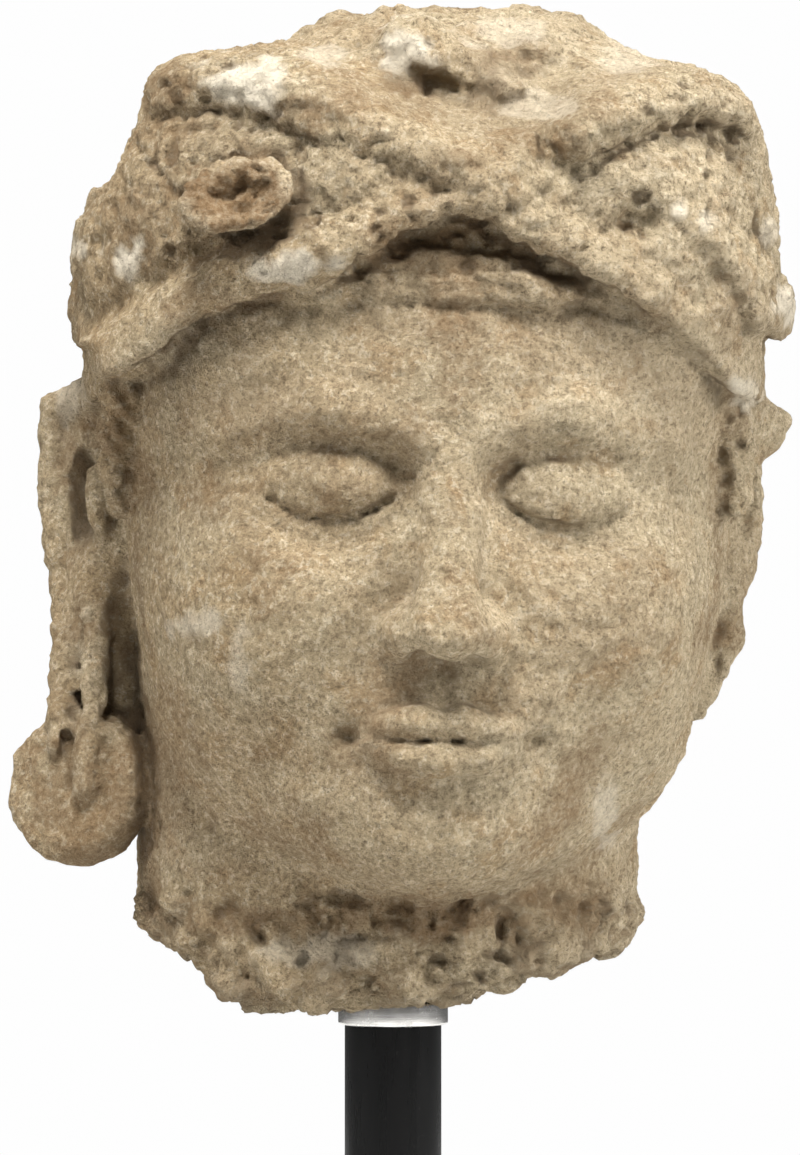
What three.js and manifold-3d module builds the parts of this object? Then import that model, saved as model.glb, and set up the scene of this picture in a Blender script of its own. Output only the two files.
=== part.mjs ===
// A stucco head of a bodhisattva in a wrapped turban, broken off at the neck, on a round post with a square foot.
// Millimetres, +Z up, the face looks along -Y. The origin is the centre of the foot's underside, on the post's axis.
import * as THREE from "three";
import { mergeVertices } from "three/addons/utils/BufferGeometryUtils.js";
import Module from "manifold-3d";

// Driving sizes
const headHeight = 264; // lowest point of the broken neck to the top of the crest
const postDiameter = 25;
const shownPostHeight = 90; // between the foot and the collar
const postInNeck = 15; // how far the post goes up into its socket in the neck
const collarHeight = 6;
const collarWall = 1.4;
const footWidth = 160;
const footHeight = 30;
const footBevel = 3;
const postInFoot = 20;
const gap = 0.3; // left between pieces that touch
const seatMargin = 1.5; // the flat cut for the collar is this much wider than the collar, all round
const roundSides = 48;

// The head's own shape, for a head 264 mm high: x to the right as seen from the front, y to the back, z up from the
// collar. It is laid out as it looks to an eye level with the face, 1300 mm away.
const carvedHeight = 264;
const eyeDistance = 1300;
const eyeHeight = 109;
const faceWidth = 156; // five eye widths
const skullHeight = 210; // crown to chin
const chinHeight = 27; // above the collar
const faceMiddle = 8;
const faceTurn = THREE.MathUtils.degToRad(5);
const faceTilt = THREE.MathUtils.degToRad(2);
// Up from the eyes
const eyeWidth = faceWidth / 5;
const eyeLevel = chinHeight + skullHeight / 2;
const browLine = skullHeight / 14;
const noseBase = (browLine - skullHeight / 2) / 2;
const mouthLine = noseBase - (skullHeight / 2 + noseBase) / 3;

const reach = (x, y, z) => Math.sqrt(x * x + y * y + z * z);
const smooth = (from, to, v) => {
  const t = Math.min(Math.max((v - from) / (to - from), 0), 1);
  return t * t * (3 - 2 * t);
};
// Distances are below 0 inside a form; k is the width of the rounding where two forms meet.
const join = (a, b, k) => {
  const h = Math.max(k - Math.abs(a - b), 0);
  return Math.min(a, b) - (h * h) / (4 * k);
};
const common = (a, b, k) => -join(-a, -b, k);
const carve = (a, b, k) => -join(-a, b, k);
const ellipsoid = (x, y, z, rx, ry, rz) => {
  const near = reach(x / rx, y / ry, z / rz);
  const slope = reach(x / (rx * rx), y / (ry * ry), z / (rz * rz));
  return slope < 1e-9 ? -Math.min(rx, ry, rz) : (near * (near - 1)) / slope;
};
const taper = (x, y, z, a, b, ra, rb) => {
  const dx = b[0] - a[0];
  const dy = b[1] - a[1];
  const dz = b[2] - a[2];
  const along = (x - a[0]) * dx + (y - a[1]) * dy + (z - a[2]) * dz;
  const t = Math.min(Math.max(along / (dx * dx + dy * dy + dz * dz), 0), 1);
  return reach(x - a[0] - t * dx, y - a[1] - t * dy, z - a[2] - t * dz) - ra - t * (rb - ra);
};
// A tapering rod that bends through the points
const chain = (x, y, z, points, from, to, k) => {
  let d = Infinity;
  const step = (to - from) / (points.length - 1);
  for (let i = 1; i < points.length; i++) {
    d = join(d, taper(x, y, z, points[i - 1], points[i], from + (i - 1) * step, from + i * step), k);
  }
  return d;
};
// A boxy ellipsoid; the powers set how square it is from above and from the side.
const boxy = (x, y, z, rx, ry, rz, above, aside) => {
  const plan = (Math.abs(x / rx) ** above + Math.abs(y / ry) ** above) ** (aside / above);
  return ((plan + Math.abs(z / rz) ** aside) ** (1 / aside) - 1) * Math.min(rx, ry, rz);
};
// The height at x of an edge that runs through points [x, z]
const edge = (points, x) => {
  if (x <= points[0][0]) return points[0][1];
  for (let i = 1; i < points.length; i++) {
    const [x0, z0] = points[i - 1];
    const [x1, z1] = points[i];
    if (x <= x1) return z0 + ((z1 - z0) * (x - x0)) / (x1 - x0);
  }
  return points.at(-1)[1];
};
// How far a point of the front is from a line through points [x, z]
const fromLine = (points, x, z) => {
  let nearest = Infinity;
  for (let i = 1; i < points.length; i++) {
    const [ax, az] = points[i - 1];
    const [dx, dz] = [points[i][0] - ax, points[i][1] - az];
    const t = Math.min(Math.max(((x - ax) * dx + (z - az) * dz) / (dx * dx + dz * dz), 0), 1);
    nearest = Math.min(nearest, reach(x - ax - t * dx, z - az - t * dz, 0));
  }
  return nearest;
};
const dip = (distance, width) => Math.exp(-((distance / width) ** 2));
// A rounded roll of cloth along a line
const roll = (points, x, z, width, height) => {
  const near = 1 - (fromLine(points, x, z) / width) ** 2;
  return near > 0 ? height * Math.sqrt(near) : 0;
};
// Broken, lumpy surface
const lumps = (x, y, z, size) => {
  const k = (2 * Math.PI) / size;
  return (
    (Math.sin(k * (x + 0.4 * z) + 1.3) * Math.sin(k * (0.9 * y - 0.3 * x) + 0.7) +
      Math.sin(k * (1.1 * z + 0.5 * y) + 2.1) * Math.sin(k * (0.8 * x - 0.6 * y) + 4)) /
    2
  );
};

// The face's mass and features: u to the right, v out of the face, w up from the eyes
function faceMass(u, v, w) {
  const side = Math.abs(u);
  let d = ellipsoid(u, v - 16, w + 6, faceWidth / 2, 66, 98);
  d = join(d, boxy(u, v - 9, w - 38, 77, 70, 46, 3.4, 2.4), 10);
  d = join(d, ellipsoid(side - 34, v - 47, w + 34, 31, 30, 34), 20);
  d = join(d, ellipsoid(side - 35, v - 24, w + 60, 30, 32, 30), 16);
  d = join(d, ellipsoid(u, v - 55, w - mouthLine - 2, 34, 26, 26), 16);
  d = join(d, ellipsoid(side - 16, v - 40, w + skullHeight / 2 - 24, 26, 28, 20), 14);
  return join(d, ellipsoid(u, v - 54, w + skullHeight / 2 - 18, 24, 26, 18), 14);
}

function eyes(d, u, v, w) {
  const side = Math.abs(u);
  const eye = side - eyeWidth;
  const deep = v + 0.22 * eye; // the eyes follow the curve of the face
  // Sockets and brows
  d = carve(d, ellipsoid(eye + 1, deep - 91.5, w - 1, 23, 18, 14), 10);
  d = carve(d, ellipsoid(eye, deep - 93.5, w + 10, 22, 16, 13), 12);
  d = carve(d, ellipsoid(side - 14.5, v - 90, w - 2, 7, 15, 12), 8);
  d = join(d, taper(side, v, w, [8, 77, browLine - 2], [31, 75.5, browLine + 5], 4.6, 4.6), 8);
  d = join(d, taper(side, v, w, [31, 75.5, browLine + 5], [58, 60, browLine - 3], 4.6, 3), 8);
  // Eyes closed: the upper lid comes down over the lower one
  const across = (eye / (eyeWidth / 2)) ** 2;
  const ball = ellipsoid(eye, deep - 61, w - 0.5, 20, 15.5, 14);
  d = join(d, ball, 6);
  const lidEdge = -8.2 + 5 * across;
  d = join(d, common(ball - 2.4, lidEdge - w, 0.8), 1.5);
  const lowerLid = common(w - lidEdge + 1.4, lidEdge - 6 + 3 * across - w, 2);
  d = join(d, common(ball - 1.3, lowerLid, 1.5), 2);
  const inEye = smooth(1.6, 0.8, across) * smooth(56, 64, v);
  d += 0.7 * inEye * dip(w - 11 + 6 * across, 2.6);
  d += 0.6 * inEye * dip(w + 16 - 6 * across, 2);
  return d + 1.3 * inEye * dip(w - lidEdge + 0.8, 0.9);
}

// The nose, its bridge and tip rubbed down
function nose(d, u, v, w) {
  const side = Math.abs(u);
  let form = taper(u, v, w, [0, 73.5, 16], [0, 88, noseBase + 12], 6, 8.4);
  form = join(form, ellipsoid(u, v - 88.5, w - noseBase - 9, 10, 11.5, 8.6), 5);
  form = join(form, ellipsoid(side - 10.4, v - 81.5, w - noseBase - 6.5, 6.6, 9.5, 7), 4);
  form = common(form, noseBase - 0.6 - w + 0.12 * (v - 84), 2);
  form = carve(form, ellipsoid(side - 6.6, v - 86.5, w - noseBase, 3, 5.4, 3), 1.5);
  form = common(form, v - (86.5 - 0.3 * w) - 0.8 * lumps(u, v, w, 9), 2);
  return join(d, form, 4.5);
}

const upperLip = [[0, 82.2, 3.4], [5.5, 83.4, 4.8], [14, 80.4, 3], [23.5, 74.6, 0.8]];
const lowerLip = [[0, 82, -5], [10, 80.8, -4.3], [21.5, 75, -1]];

function lips(d, u, v, w) {
  const side = Math.abs(u);
  const up = w - mouthLine;
  d = carve(d, taper(u, v, w, [0, 84.5, noseBase - 3], [0, 85.5, mouthLine + 9], 3, 3.6), 3);
  d = carve(d, ellipsoid(u, v - 88, up + 15.5, 16, 9, 4.6), 8);
  let mouth = chain(side, v, up, upperLip, 4.6, 3.2, 1.5);
  mouth = join(mouth, chain(side, v, up, lowerLip, 5.4, 3.2, 1.5), 3);
  d = join(d, mouth, 1.5);
  const parting = 0.6 - 0.9 * Math.cos(side * 0.36) * smooth(16, 6, side) - 0.003 * side * side;
  const parted = smooth(eyeWidth * 0.78, eyeWidth * 0.4, side) * smooth(50, 60, v);
  d += 0.9 * dip(up + parting, 1) * parted;
  return carve(d, ellipsoid(side - eyeWidth * 0.78, v - 79, up - 0.4, 3, 6, 2.6), 4);
}

// The front of the chin is rubbed off in a rough patch.
function brokenChin(d, u, v, w) {
  const away = reach(u / 16, (w + 94) / 10, 0);
  return common(d, v - 77.6 - 3 * away * away - 1.2 * lumps(u, v, w, 11), 2);
}

// The turban as it lies over the front: [x, z] along its edges and folds
const clothEdge = [
  [-80, 157], [-63, 166], [-50, 177], [-37, 181], [-16, 186], [3, 198], [16, 203], [25, 202], [33, 195.5], [43, 191],
  [54, 185], [64, 180], [77, 172], [90, 159],
];
const bandEdge = [
  [-80, 152], [-63, 161.5], [-50, 172], [-37, 178], [-26, 180], [41, 179], [50, 180.5], [64, 175.5], [77, 166], [90, 156],
];
const lowerRoll = [[-84, 160], [-70, 166], [-60, 174], [-48, 182], [-36, 187], [-24, 190]];
const rollEnd = [[-40, 189], [-22, 193], [-8, 197], [4, 204]];
const rollGroove = [[-84, 172], [-66, 184], [-50, 193], [-38, 197]];
const leftArm = [[-64, 240], [-44, 240.5], [-28, 237], [-10, 229], [6, 224], [16, 219]];
const leftArmUnder = [[-66, 233.5], [-45, 232.5], [-27, 229], [-13, 225]];
const rightArm = [[50, 226], [66, 232.5], [80, 235], [94, 231]];
const rightArmUnder = [[46, 217], [54, 221.5], [66, 225], [78, 227], [92, 226]];
const archLip = [[2, 203], [10, 207], [18, 208.5], [27, 206], [36, 200], [46, 195.5], [57, 189.5], [67, 183.5]];
const archEnd = [[60, 187.5], [78, 176]];
const bandRoll = [[-26, 182.6], [-6, 184], [14, 184], [34, 183], [46, 182]];
const innerRoll = [[-6, 190], [8, 191.5], [22, 190], [34, 188]];
const ribbonRoll = [[76, 203], [85, 197], [92, 188], [97, 177]];
const armEdge = [
  [-62, 247], [-30, 246], [-16, 238], [2, 229], [18, 222.5], [30, 222], [43, 226], [52, 234], [60, 240], [70, 242],
  [80, 240], [92, 234],
];
const topEdge = [[-62, 240], [-55, 243.5], [-42, 245], [-28, 247], [58, 246], [66, 243], [80, 240], [92, 234]];
const leftSide = [[158, 77], [168, 78], [170, 83], [192, 83], [200, 81], [213, 71.5], [226, 65.5], [240, 62]];
const rightSide = [[162, 93], [171, 94], [174, 101], [180, 101], [206, 99], [220, 96], [231, 93.5], [237, 90]];

// How far the cloth stands out: crossed arms and rolls in front, winding folds at the sides and back
function clothRelief(x, y, z, front) {
  let h = 0;
  if (front > 0) {
    h = Math.max(roll(lowerRoll, x, z, 9, 5.5), roll(rollEnd, x, z, 8.5, 7));
    h = Math.max(h, roll(leftArm, x, z, 11, 7.5), roll(rightArm, x, z, 9, 8.5));
    h = Math.max(h, roll(archLip, x, z, 7, 5), roll(archEnd, x, z, 6, 2.8), roll(ribbonRoll, x, z, 7, 6.5));
    h = Math.max(h, 9 * dip(reach(x - 48, z - 223, 0), 7), 7.5 * dip(reach(x - 27, z - 211, 0), 14));
    h = Math.max(h, 5.5 * dip(reach(x - 74, z - 206, 0), 24), 3 * dip(reach(x + 46, z - 214, 0), 22));
    h = Math.max(h, 5 * dip(reach((x + 6) / 22, (z - 213) / 13, 0), 1));
    h = Math.max(h, 4 * dip(reach((x - 87) / 8, (z - 182) / 12, 0), 1));
    h -= 2 * dip(fromLine(rollGroove, x, z), 3);
    h -= 1.2 * dip(fromLine(leftArmUnder, x, z - 1), 3.2);
    h -= 1.2 * dip(fromLine(rightArmUnder, x, z + 1), 3);
    h -= 4.5 * dip(reach(x - 62.5, (z - 201) * 1.4, 0), 6.5);
  }
  const turn = Math.atan2(x - faceMiddle, 6 - y);
  const fold = z - 158 + 12 * Math.cos(turn * 1.5) + 4 * Math.sin(turn * 4 + z / 30);
  const winding = Math.abs(Math.sin((Math.PI * fold) / 23));
  return h * front + (1 - front) * (3 * winding ** 0.8 + 0.8 * lumps(x, y, z, 34));
}

function turban(x, y, z) {
  const front = smooth(-15, -50, y);
  const toRight = smooth(50, 76, x) * front;
  const sideEdge = 158 - 0.12 * (y + 20);
  const base = boxy(x - faceMiddle, y - 2, z - 174, 92, 86, 74, 2.6, 4.5);
  // A band over the forehead, under the cloth
  const bandLine = sideEdge - 3 + (edge(bandEdge, x) - sideEdge + 3) * front + 0.8 * lumps(x, y, z, 12);
  let band = base + 3.2 - 2.4 * toRight + 0.12 * Math.max(z - 190, 0);
  band -= front * (roll(bandRoll, x, z, 4.5, 3) + roll(innerRoll, x, z, 3.6, 2.2));
  band = common(common(band, bandLine - z, 1.5 + 5 * smooth(-24, -44, x) * front), z - 210, 3);
  const clothLine = sideEdge + (edge(clothEdge, x) - sideEdge) * front + 1.3 * lumps(x, y, z, 13);
  let cloth = common(base - clothRelief(x, y, z, front), clothLine - z, 2);
  cloth = common(cloth, -x - edge(leftSide, z), 5);
  cloth = common(cloth, x - edge(rightSide, z), 5);
  // Above the two crossed arms of cloth the top slopes back to the crest
  cloth = common(cloth, 0.9 * (z - edge(armEdge, x)) - 0.43 * (y + 84), 3);
  cloth = common(cloth, z - edge(topEdge, x), 3);
  // What is left of the crest
  let crest = boxy(x - 15, y - 1, z - 231, 45, 69, 24.5, 2.4, 3);
  crest = join(crest, ellipsoid(x - 5, y + 61, z - 245, 9, 9, 8.5), 4);
  crest -= 2.2 * lumps(x, y, z, 25);
  crest = carve(crest, ellipsoid(x - 9, y + 70, z - 233.5, 8.5, 8, 4.5), 3);
  return join(band, join(cloth, crest, 4), 1.2 + 5 * toRight);
}

// A round boss on the left of the turban, broken open into a ragged ring
function boss(x, y, z) {
  const [u, v, w] = [x + 40, y + 84, z - 208 - 0.13 * (x + 40)];
  const ragged = 0.7 * lumps(x, y, z, 9);
  let body = common((reach(u / 13.2, w / 9, 0) - 1) * 9, -v - 6 + ragged, 2.5);
  body = common(body, v - 14, 2);
  const ring = reach((reach(u / 11, w / 6.9, 0) - 1) * 6.9, v + 5.7 - 0.35 * w, 0) - 2.7 + ragged;
  body = join(body, ring, 1.5);
  return carve(body, taper(u, v, w, [-6, -7, -0.4], [6.5, -7, 1.4], 2.1, 1.7), 1.2);
}

// The loose ends of the turban at each side
const ribbon = [[86, -34, 198], [92, -26, 190], [96, -18, 181], [97.5, -14, 176]];

function looseEnds(d, x, y, z) {
  d = join(d, ellipsoid(x + 71, y + 14, z - 196, 10.5, 18, 8), 3);
  d = join(d, common(ellipsoid(x + 71, y + 8, z - 180, 12, 18, 16), 169.5 - z, 2), 2);
  const end = common(chain(x, y, z, ribbon, 7, 6.5, 3), 170.5 - z + 0.25 * (98 - x), 1.5);
  return join(d, end - 1.2 * lumps(x, y, z, 12), 2.5);
}

// Each ear in its own plane: u runs outwards and back from the cheek, v stands out of the ear, w is up
const earLean = THREE.MathUtils.degToRad(42);
const earLevel = 127;
const earPlane = (x, y, out) => [
  out * x * Math.cos(earLean) + y * Math.sin(earLean),
  out * x * Math.sin(earLean) - y * Math.cos(earLean),
];
const rim = [[2, 1, 27], [12, 2, 28.5], [21, 2, 26], [22.5, 2, 20], [22, 2, 4], [20.5, 2, -14], [19, 1, -26]];
const brokenLobe = [[-1, 0, -20], [1, 1, -33], [-9, 1, -50]];
// The left lobe's strands, as [x, y, z]
const outerStrand = [[-84, 13, 104], [-85.5, 2, 84], [-86, -6, 73], [-86.5, -9, 66]];
const innerStrand = [[-76.5, 6, 108], [-77.4, -5, 86], [-78, -13.5, 69], [-79.4, -15.2, 55.5]];
const strandSlit = [[-81, 1, 99], [-81.8, -4, 88], [-82.4, -11, 74]];

function leftEar(d, x, y, z) {
  const [u, v] = earPlane(x + 70, y - 4, -1);
  const w = z - earLevel;
  let ear = ellipsoid(u - 9, v, w, 15, 5.5, 28);
  ear = join(ear, chain(u, v, w, rim, 4.2, 3.4, 1.5), 1.5);
  ear = carve(ear, ellipsoid(u - 10, v - 7, w - 2, 5.4, 11.5, 15), 2);
  ear = carve(ear, taper(u, v, w, [13, 6.5, 24], [16, 6.5, 8], 2.4, 1.8), 1.2);
  ear = carve(ear, taper(u, v, w, [16.5, 6, 8], [15, 6, -16], 1.6, 1.3), 1);
  ear = join(ear, ellipsoid(u - 3, v - 4.5, w - 2, 4, 4.5, 11), 2);
  ear = join(ear, ellipsoid(u - 11, v, w + 22, 10, 4.5, 11), 3);
  // The stretched lobe comes down and forward in two strands
  ear = join(ear, chain(x, y, z, outerStrand, 4, 3.4, 2), 2);
  ear = join(ear, chain(x, y, z, innerStrand, 4.8, 3, 2) - 0.5 * lumps(x, y, z, 7), 4);
  d = join(d, ear - 0.6 * lumps(x, y, z, 10), 3);
  // The hollow between the lobe and the jaw has a floor further back
  d = join(d, boxy(x + 71, y - 14, z - 88, 14, 13, 34, 3, 3), 3);
  return carve(d, chain(x, y, z, strandSlit, 2, 2.4, 1), 0.8);
}

// A thick disc hangs in the left lobe, with the end of a strand across it and a slit beside it
function earring(d, x, y, z) {
  const [px, py, pz] = [x + 80.6, y + 6, z - 54.5];
  const along = -0.5 * px - 0.85 * py + 0.15 * pz;
  const across = Math.sqrt(Math.max(px * px + py * py + pz * pz - along * along, 0));
  const rough = 0.3 * lumps(x, y, z, 9);
  d = join(d, common(across - 19.8 - 0.4 * lumps(x, y, z, 16), Math.abs(along) - 6.5 - rough, 4.5), 1.2);
  d = join(d, chain(x, y, z, innerStrand.slice(2), 3.8, 3, 1), 3);
  return carve(d, taper(x, y, z, [-84.6, -10, 68], [-83.6, -12.3, 56.5], 1.8, 2.7), 1);
}

function rightEar(d, x, y, z) {
  const [u, v] = earPlane(x - 84, y - 4, 1);
  const w = z - earLevel;
  let ear = ellipsoid(u - 3, v, w, 12, 5.5, 26);
  ear = join(ear, ellipsoid(u - 10, v - 0.5, w - 20.5, 13, 5.5, 9), 2);
  ear = join(ear, taper(u, v, w, [9, 0, 21], [22.2, 0, 23.4], 6.5, 2.8), 2);
  ear = common(ear, w - 28.5 + 0.03 * Math.max(u - 12, 0) ** 2, 1);
  ear = carve(ear, ellipsoid(u - 6, v - 7, w - 1, 3.6, 5.5, 12), 2.5);
  ear = join(ear, chain(u, v, w, brokenLobe, 6.5, 4.5, 2), 3);
  ear = carve(ear, ellipsoid(u + 5, v - 8, w + 40, 3, 5, 6), 2);
  return join(d, ear, 3);
}

// Locks of hair in front of the ears: [x, y, z, radius]
const leftLocks = [[-69.5, -35, 157, 8], [-70.5, -30, 147, 7.5], [-70.5, -27, 137.5, 6.5], [-69.5, -25, 129.5, 5.5]];
const rightLocks = [[87.5, -35, 160, 7.5], [88, -31, 149.5, 7.5], [88.5, -30, 139.5, 7], [87.5, -30, 130.5, 6.5]];

function locks(d, x, y, z) {
  if (Math.abs(x) < 45 || z < 110 || z > 180) return d;
  for (const [cx, cy, cz, r] of x < 0 ? leftLocks : rightLocks) {
    d = join(d, ellipsoid(x - cx, y - cy, z - cz, r * 0.9, r, r) - 1.2 * lumps(x, y, z, 7), 1.8);
  }
  return d;
}

// The neck, broken off unevenly
const neckEdge = [
  [-66, 19], [-50, 10], [-43, 1], [-32, -2.6], [-14, -1.3], [15, 0], [43, 9], [53, 12], [60, 14], [63, 18],
];

function neck(x, y, z) {
  const column = boxy(x + 1.5, y - 11, z - 45, 64.5, 55, 400, 2.6, 2.6) - 2 * lumps(x, y, z, 22) * smooth(34, 24, z);
  const bottom = edge(neckEdge, x) + 0.08 * Math.max(y, 0) + 1.8 * lumps(x, y, z, 15);
  return common(common(column, bottom - z, 4), z - 90, 10);
}

// The whole head
function stucco(px, y, pz) {
  const spread = eyeDistance / (eyeDistance + y);
  const x = px * spread;
  const z = eyeHeight + (pz - eyeHeight) * spread;
  let d = ellipsoid(x - faceMiddle, y - 2, z - 156, 76, 82, 84);
  d = join(d, ellipsoid(x - 5, y - 14, z - 84, 69, 58, 62), 24);
  const dx = x - faceMiddle;
  const dz = z - eyeLevel;
  const turned = dx * Math.cos(faceTurn) + y * Math.sin(faceTurn);
  const v = dx * Math.sin(faceTurn) - y * Math.cos(faceTurn);
  const u = turned * Math.cos(faceTilt) - dz * Math.sin(faceTilt);
  const w = turned * Math.sin(faceTilt) + dz * Math.cos(faceTilt);
  d = join(d, faceMass(u, v, w), 12);
  if (v > 30) d = brokenChin(lips(nose(eyes(d, u, v, w), u, v, w), u, v, w), u, v, w);
  if (z < 110) d = join(d, neck(x, y, z), 4);
  if (z > 145) {
    d = join(d, turban(x, y, z), 1.5);
    d = join(d, boss(x, y, z), 1.5);
    d = looseEnds(d, x, y, z);
  }
  if (x < -40 && z < 170) d = earring(leftEar(d, x, y, z), x, y, z);
  if (x > 60 && z < 170) d = rightEar(d, x, y, z);
  return locks(d, x, y, z);
}

// Meshing: a grid of cells, with one point in each cell that the surface crosses
const cell = 2.6;
const block = 4;
const lowest = [-108, -112, -12];
const highest = [112, 106, 268];
const cellEdges = [
  [0, 1], [2, 3], [4, 5], [6, 7], [0, 2], [1, 3], [4, 6], [5, 7], [0, 4], [1, 5], [2, 6], [3, 7],
];

function skin(field) {
  const blocks = lowest.map((low, axis) => Math.ceil((highest[axis] - low) / (cell * block)));
  const n = blocks.map((count) => count * block + 1);
  const index = (i, j, k) => (k * n[1] + j) * n[0] + i;
  const sample = (i, j, k) => field(lowest[0] + i * cell, lowest[1] + j * cell, lowest[2] + k * cell);
  const value = new Float32Array(n[0] * n[1] * n[2]);
  const each = (from, to, visit) => {
    for (let k = from[2]; k < to[2]; k++) {
      for (let j = from[1]; j < to[1]; j++) {
        for (let i = from[0]; i < to[0]; i++) visit(i, j, k);
      }
    }
  };
  // Only blocks near the surface are worked out point by point.
  each([0, 0, 0], blocks, (bi, bj, bk) => {
    const from = [bi * block, bj * block, bk * block];
    const middle = sample(...from.map((start) => start + block / 2));
    const near = Math.abs(middle) < 1.3 * cell * block;
    each(from, from.map((start) => start + block + 1), (i, j, k) => {
      value[index(i, j, k)] = near ? sample(i, j, k) : Math.sign(middle);
    });
  });
  // Where two corners of a square are inside and the two between them aren't, one more is taken inside, so that
  // no edge of the mesh is shared by four faces.
  const stride = [1, n[0], n[0] * n[1]];
  let changed = true;
  while (changed) {
    changed = false;
    each([0, 0, 0], n.map((count) => count - 1), (i, j, k) => {
      const first = index(i, j, k);
      for (const [s, t] of [[0, 1], [1, 2], [2, 0]]) {
        const [b, c, d] = [first + stride[s], first + stride[t], first + stride[s] + stride[t]];
        const inside = value[first] < 0;
        if (value[d] < 0 !== inside || value[b] < 0 === inside || value[c] < 0 === inside) continue;
        const [p, q] = inside ? [b, c] : [first, d];
        value[value[p] < value[q] ? p : q] = -0.1 * cell;
        changed = true;
      }
    });
  }
  const pointOf = new Int32Array(value.length).fill(-1);
  const points = [];
  each([0, 0, 0], n.map((count) => count - 1), (i, j, k) => {
    const corner = (c) => value[index(i + (c & 1), j + ((c >> 1) & 1), k + (c >> 2))];
    const sum = [0, 0, 0];
    let crossings = 0;
    for (const [a, b] of cellEdges) {
      const [va, vb] = [corner(a), corner(b)];
      if (va < 0 === vb < 0) continue;
      const t = va / (va - vb);
      for (let axis = 0; axis < 3; axis++) {
        const start = (a >> axis) & 1;
        sum[axis] += start + t * (((b >> axis) & 1) - start);
      }
      crossings++;
    }
    if (!crossings) return;
    pointOf[index(i, j, k)] = points.length;
    points.push([i, j, k].map((g, axis) => lowest[axis] + (g + sum[axis] / crossings) * cell));
  });
  const faces = [];
  const quad = (corners, flip) => {
    const [a, b, c, d] = flip ? corners.reverse() : corners;
    faces.push([a, b, c], [a, c, d]);
  };
  each([1, 1, 1], n.map((count) => count - 1), (i, j, k) => {
    const inside = value[index(i, j, k)] < 0;
    const crossed = (a, b, c) => inside !== value[index(i + a, j + b, k + c)] < 0;
    const at = (a, b, c) => pointOf[index(i - a, j - b, k - c)];
    if (crossed(1, 0, 0)) quad([at(0, 1, 1), at(0, 0, 1), at(0, 0, 0), at(0, 1, 0)], !inside);
    if (crossed(0, 1, 0)) quad([at(1, 0, 1), at(1, 0, 0), at(0, 0, 0), at(0, 0, 1)], !inside);
    if (crossed(0, 0, 1)) quad([at(1, 1, 0), at(0, 1, 0), at(0, 0, 0), at(1, 0, 0)], !inside);
  });
  return { points, faces };
}

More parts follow.
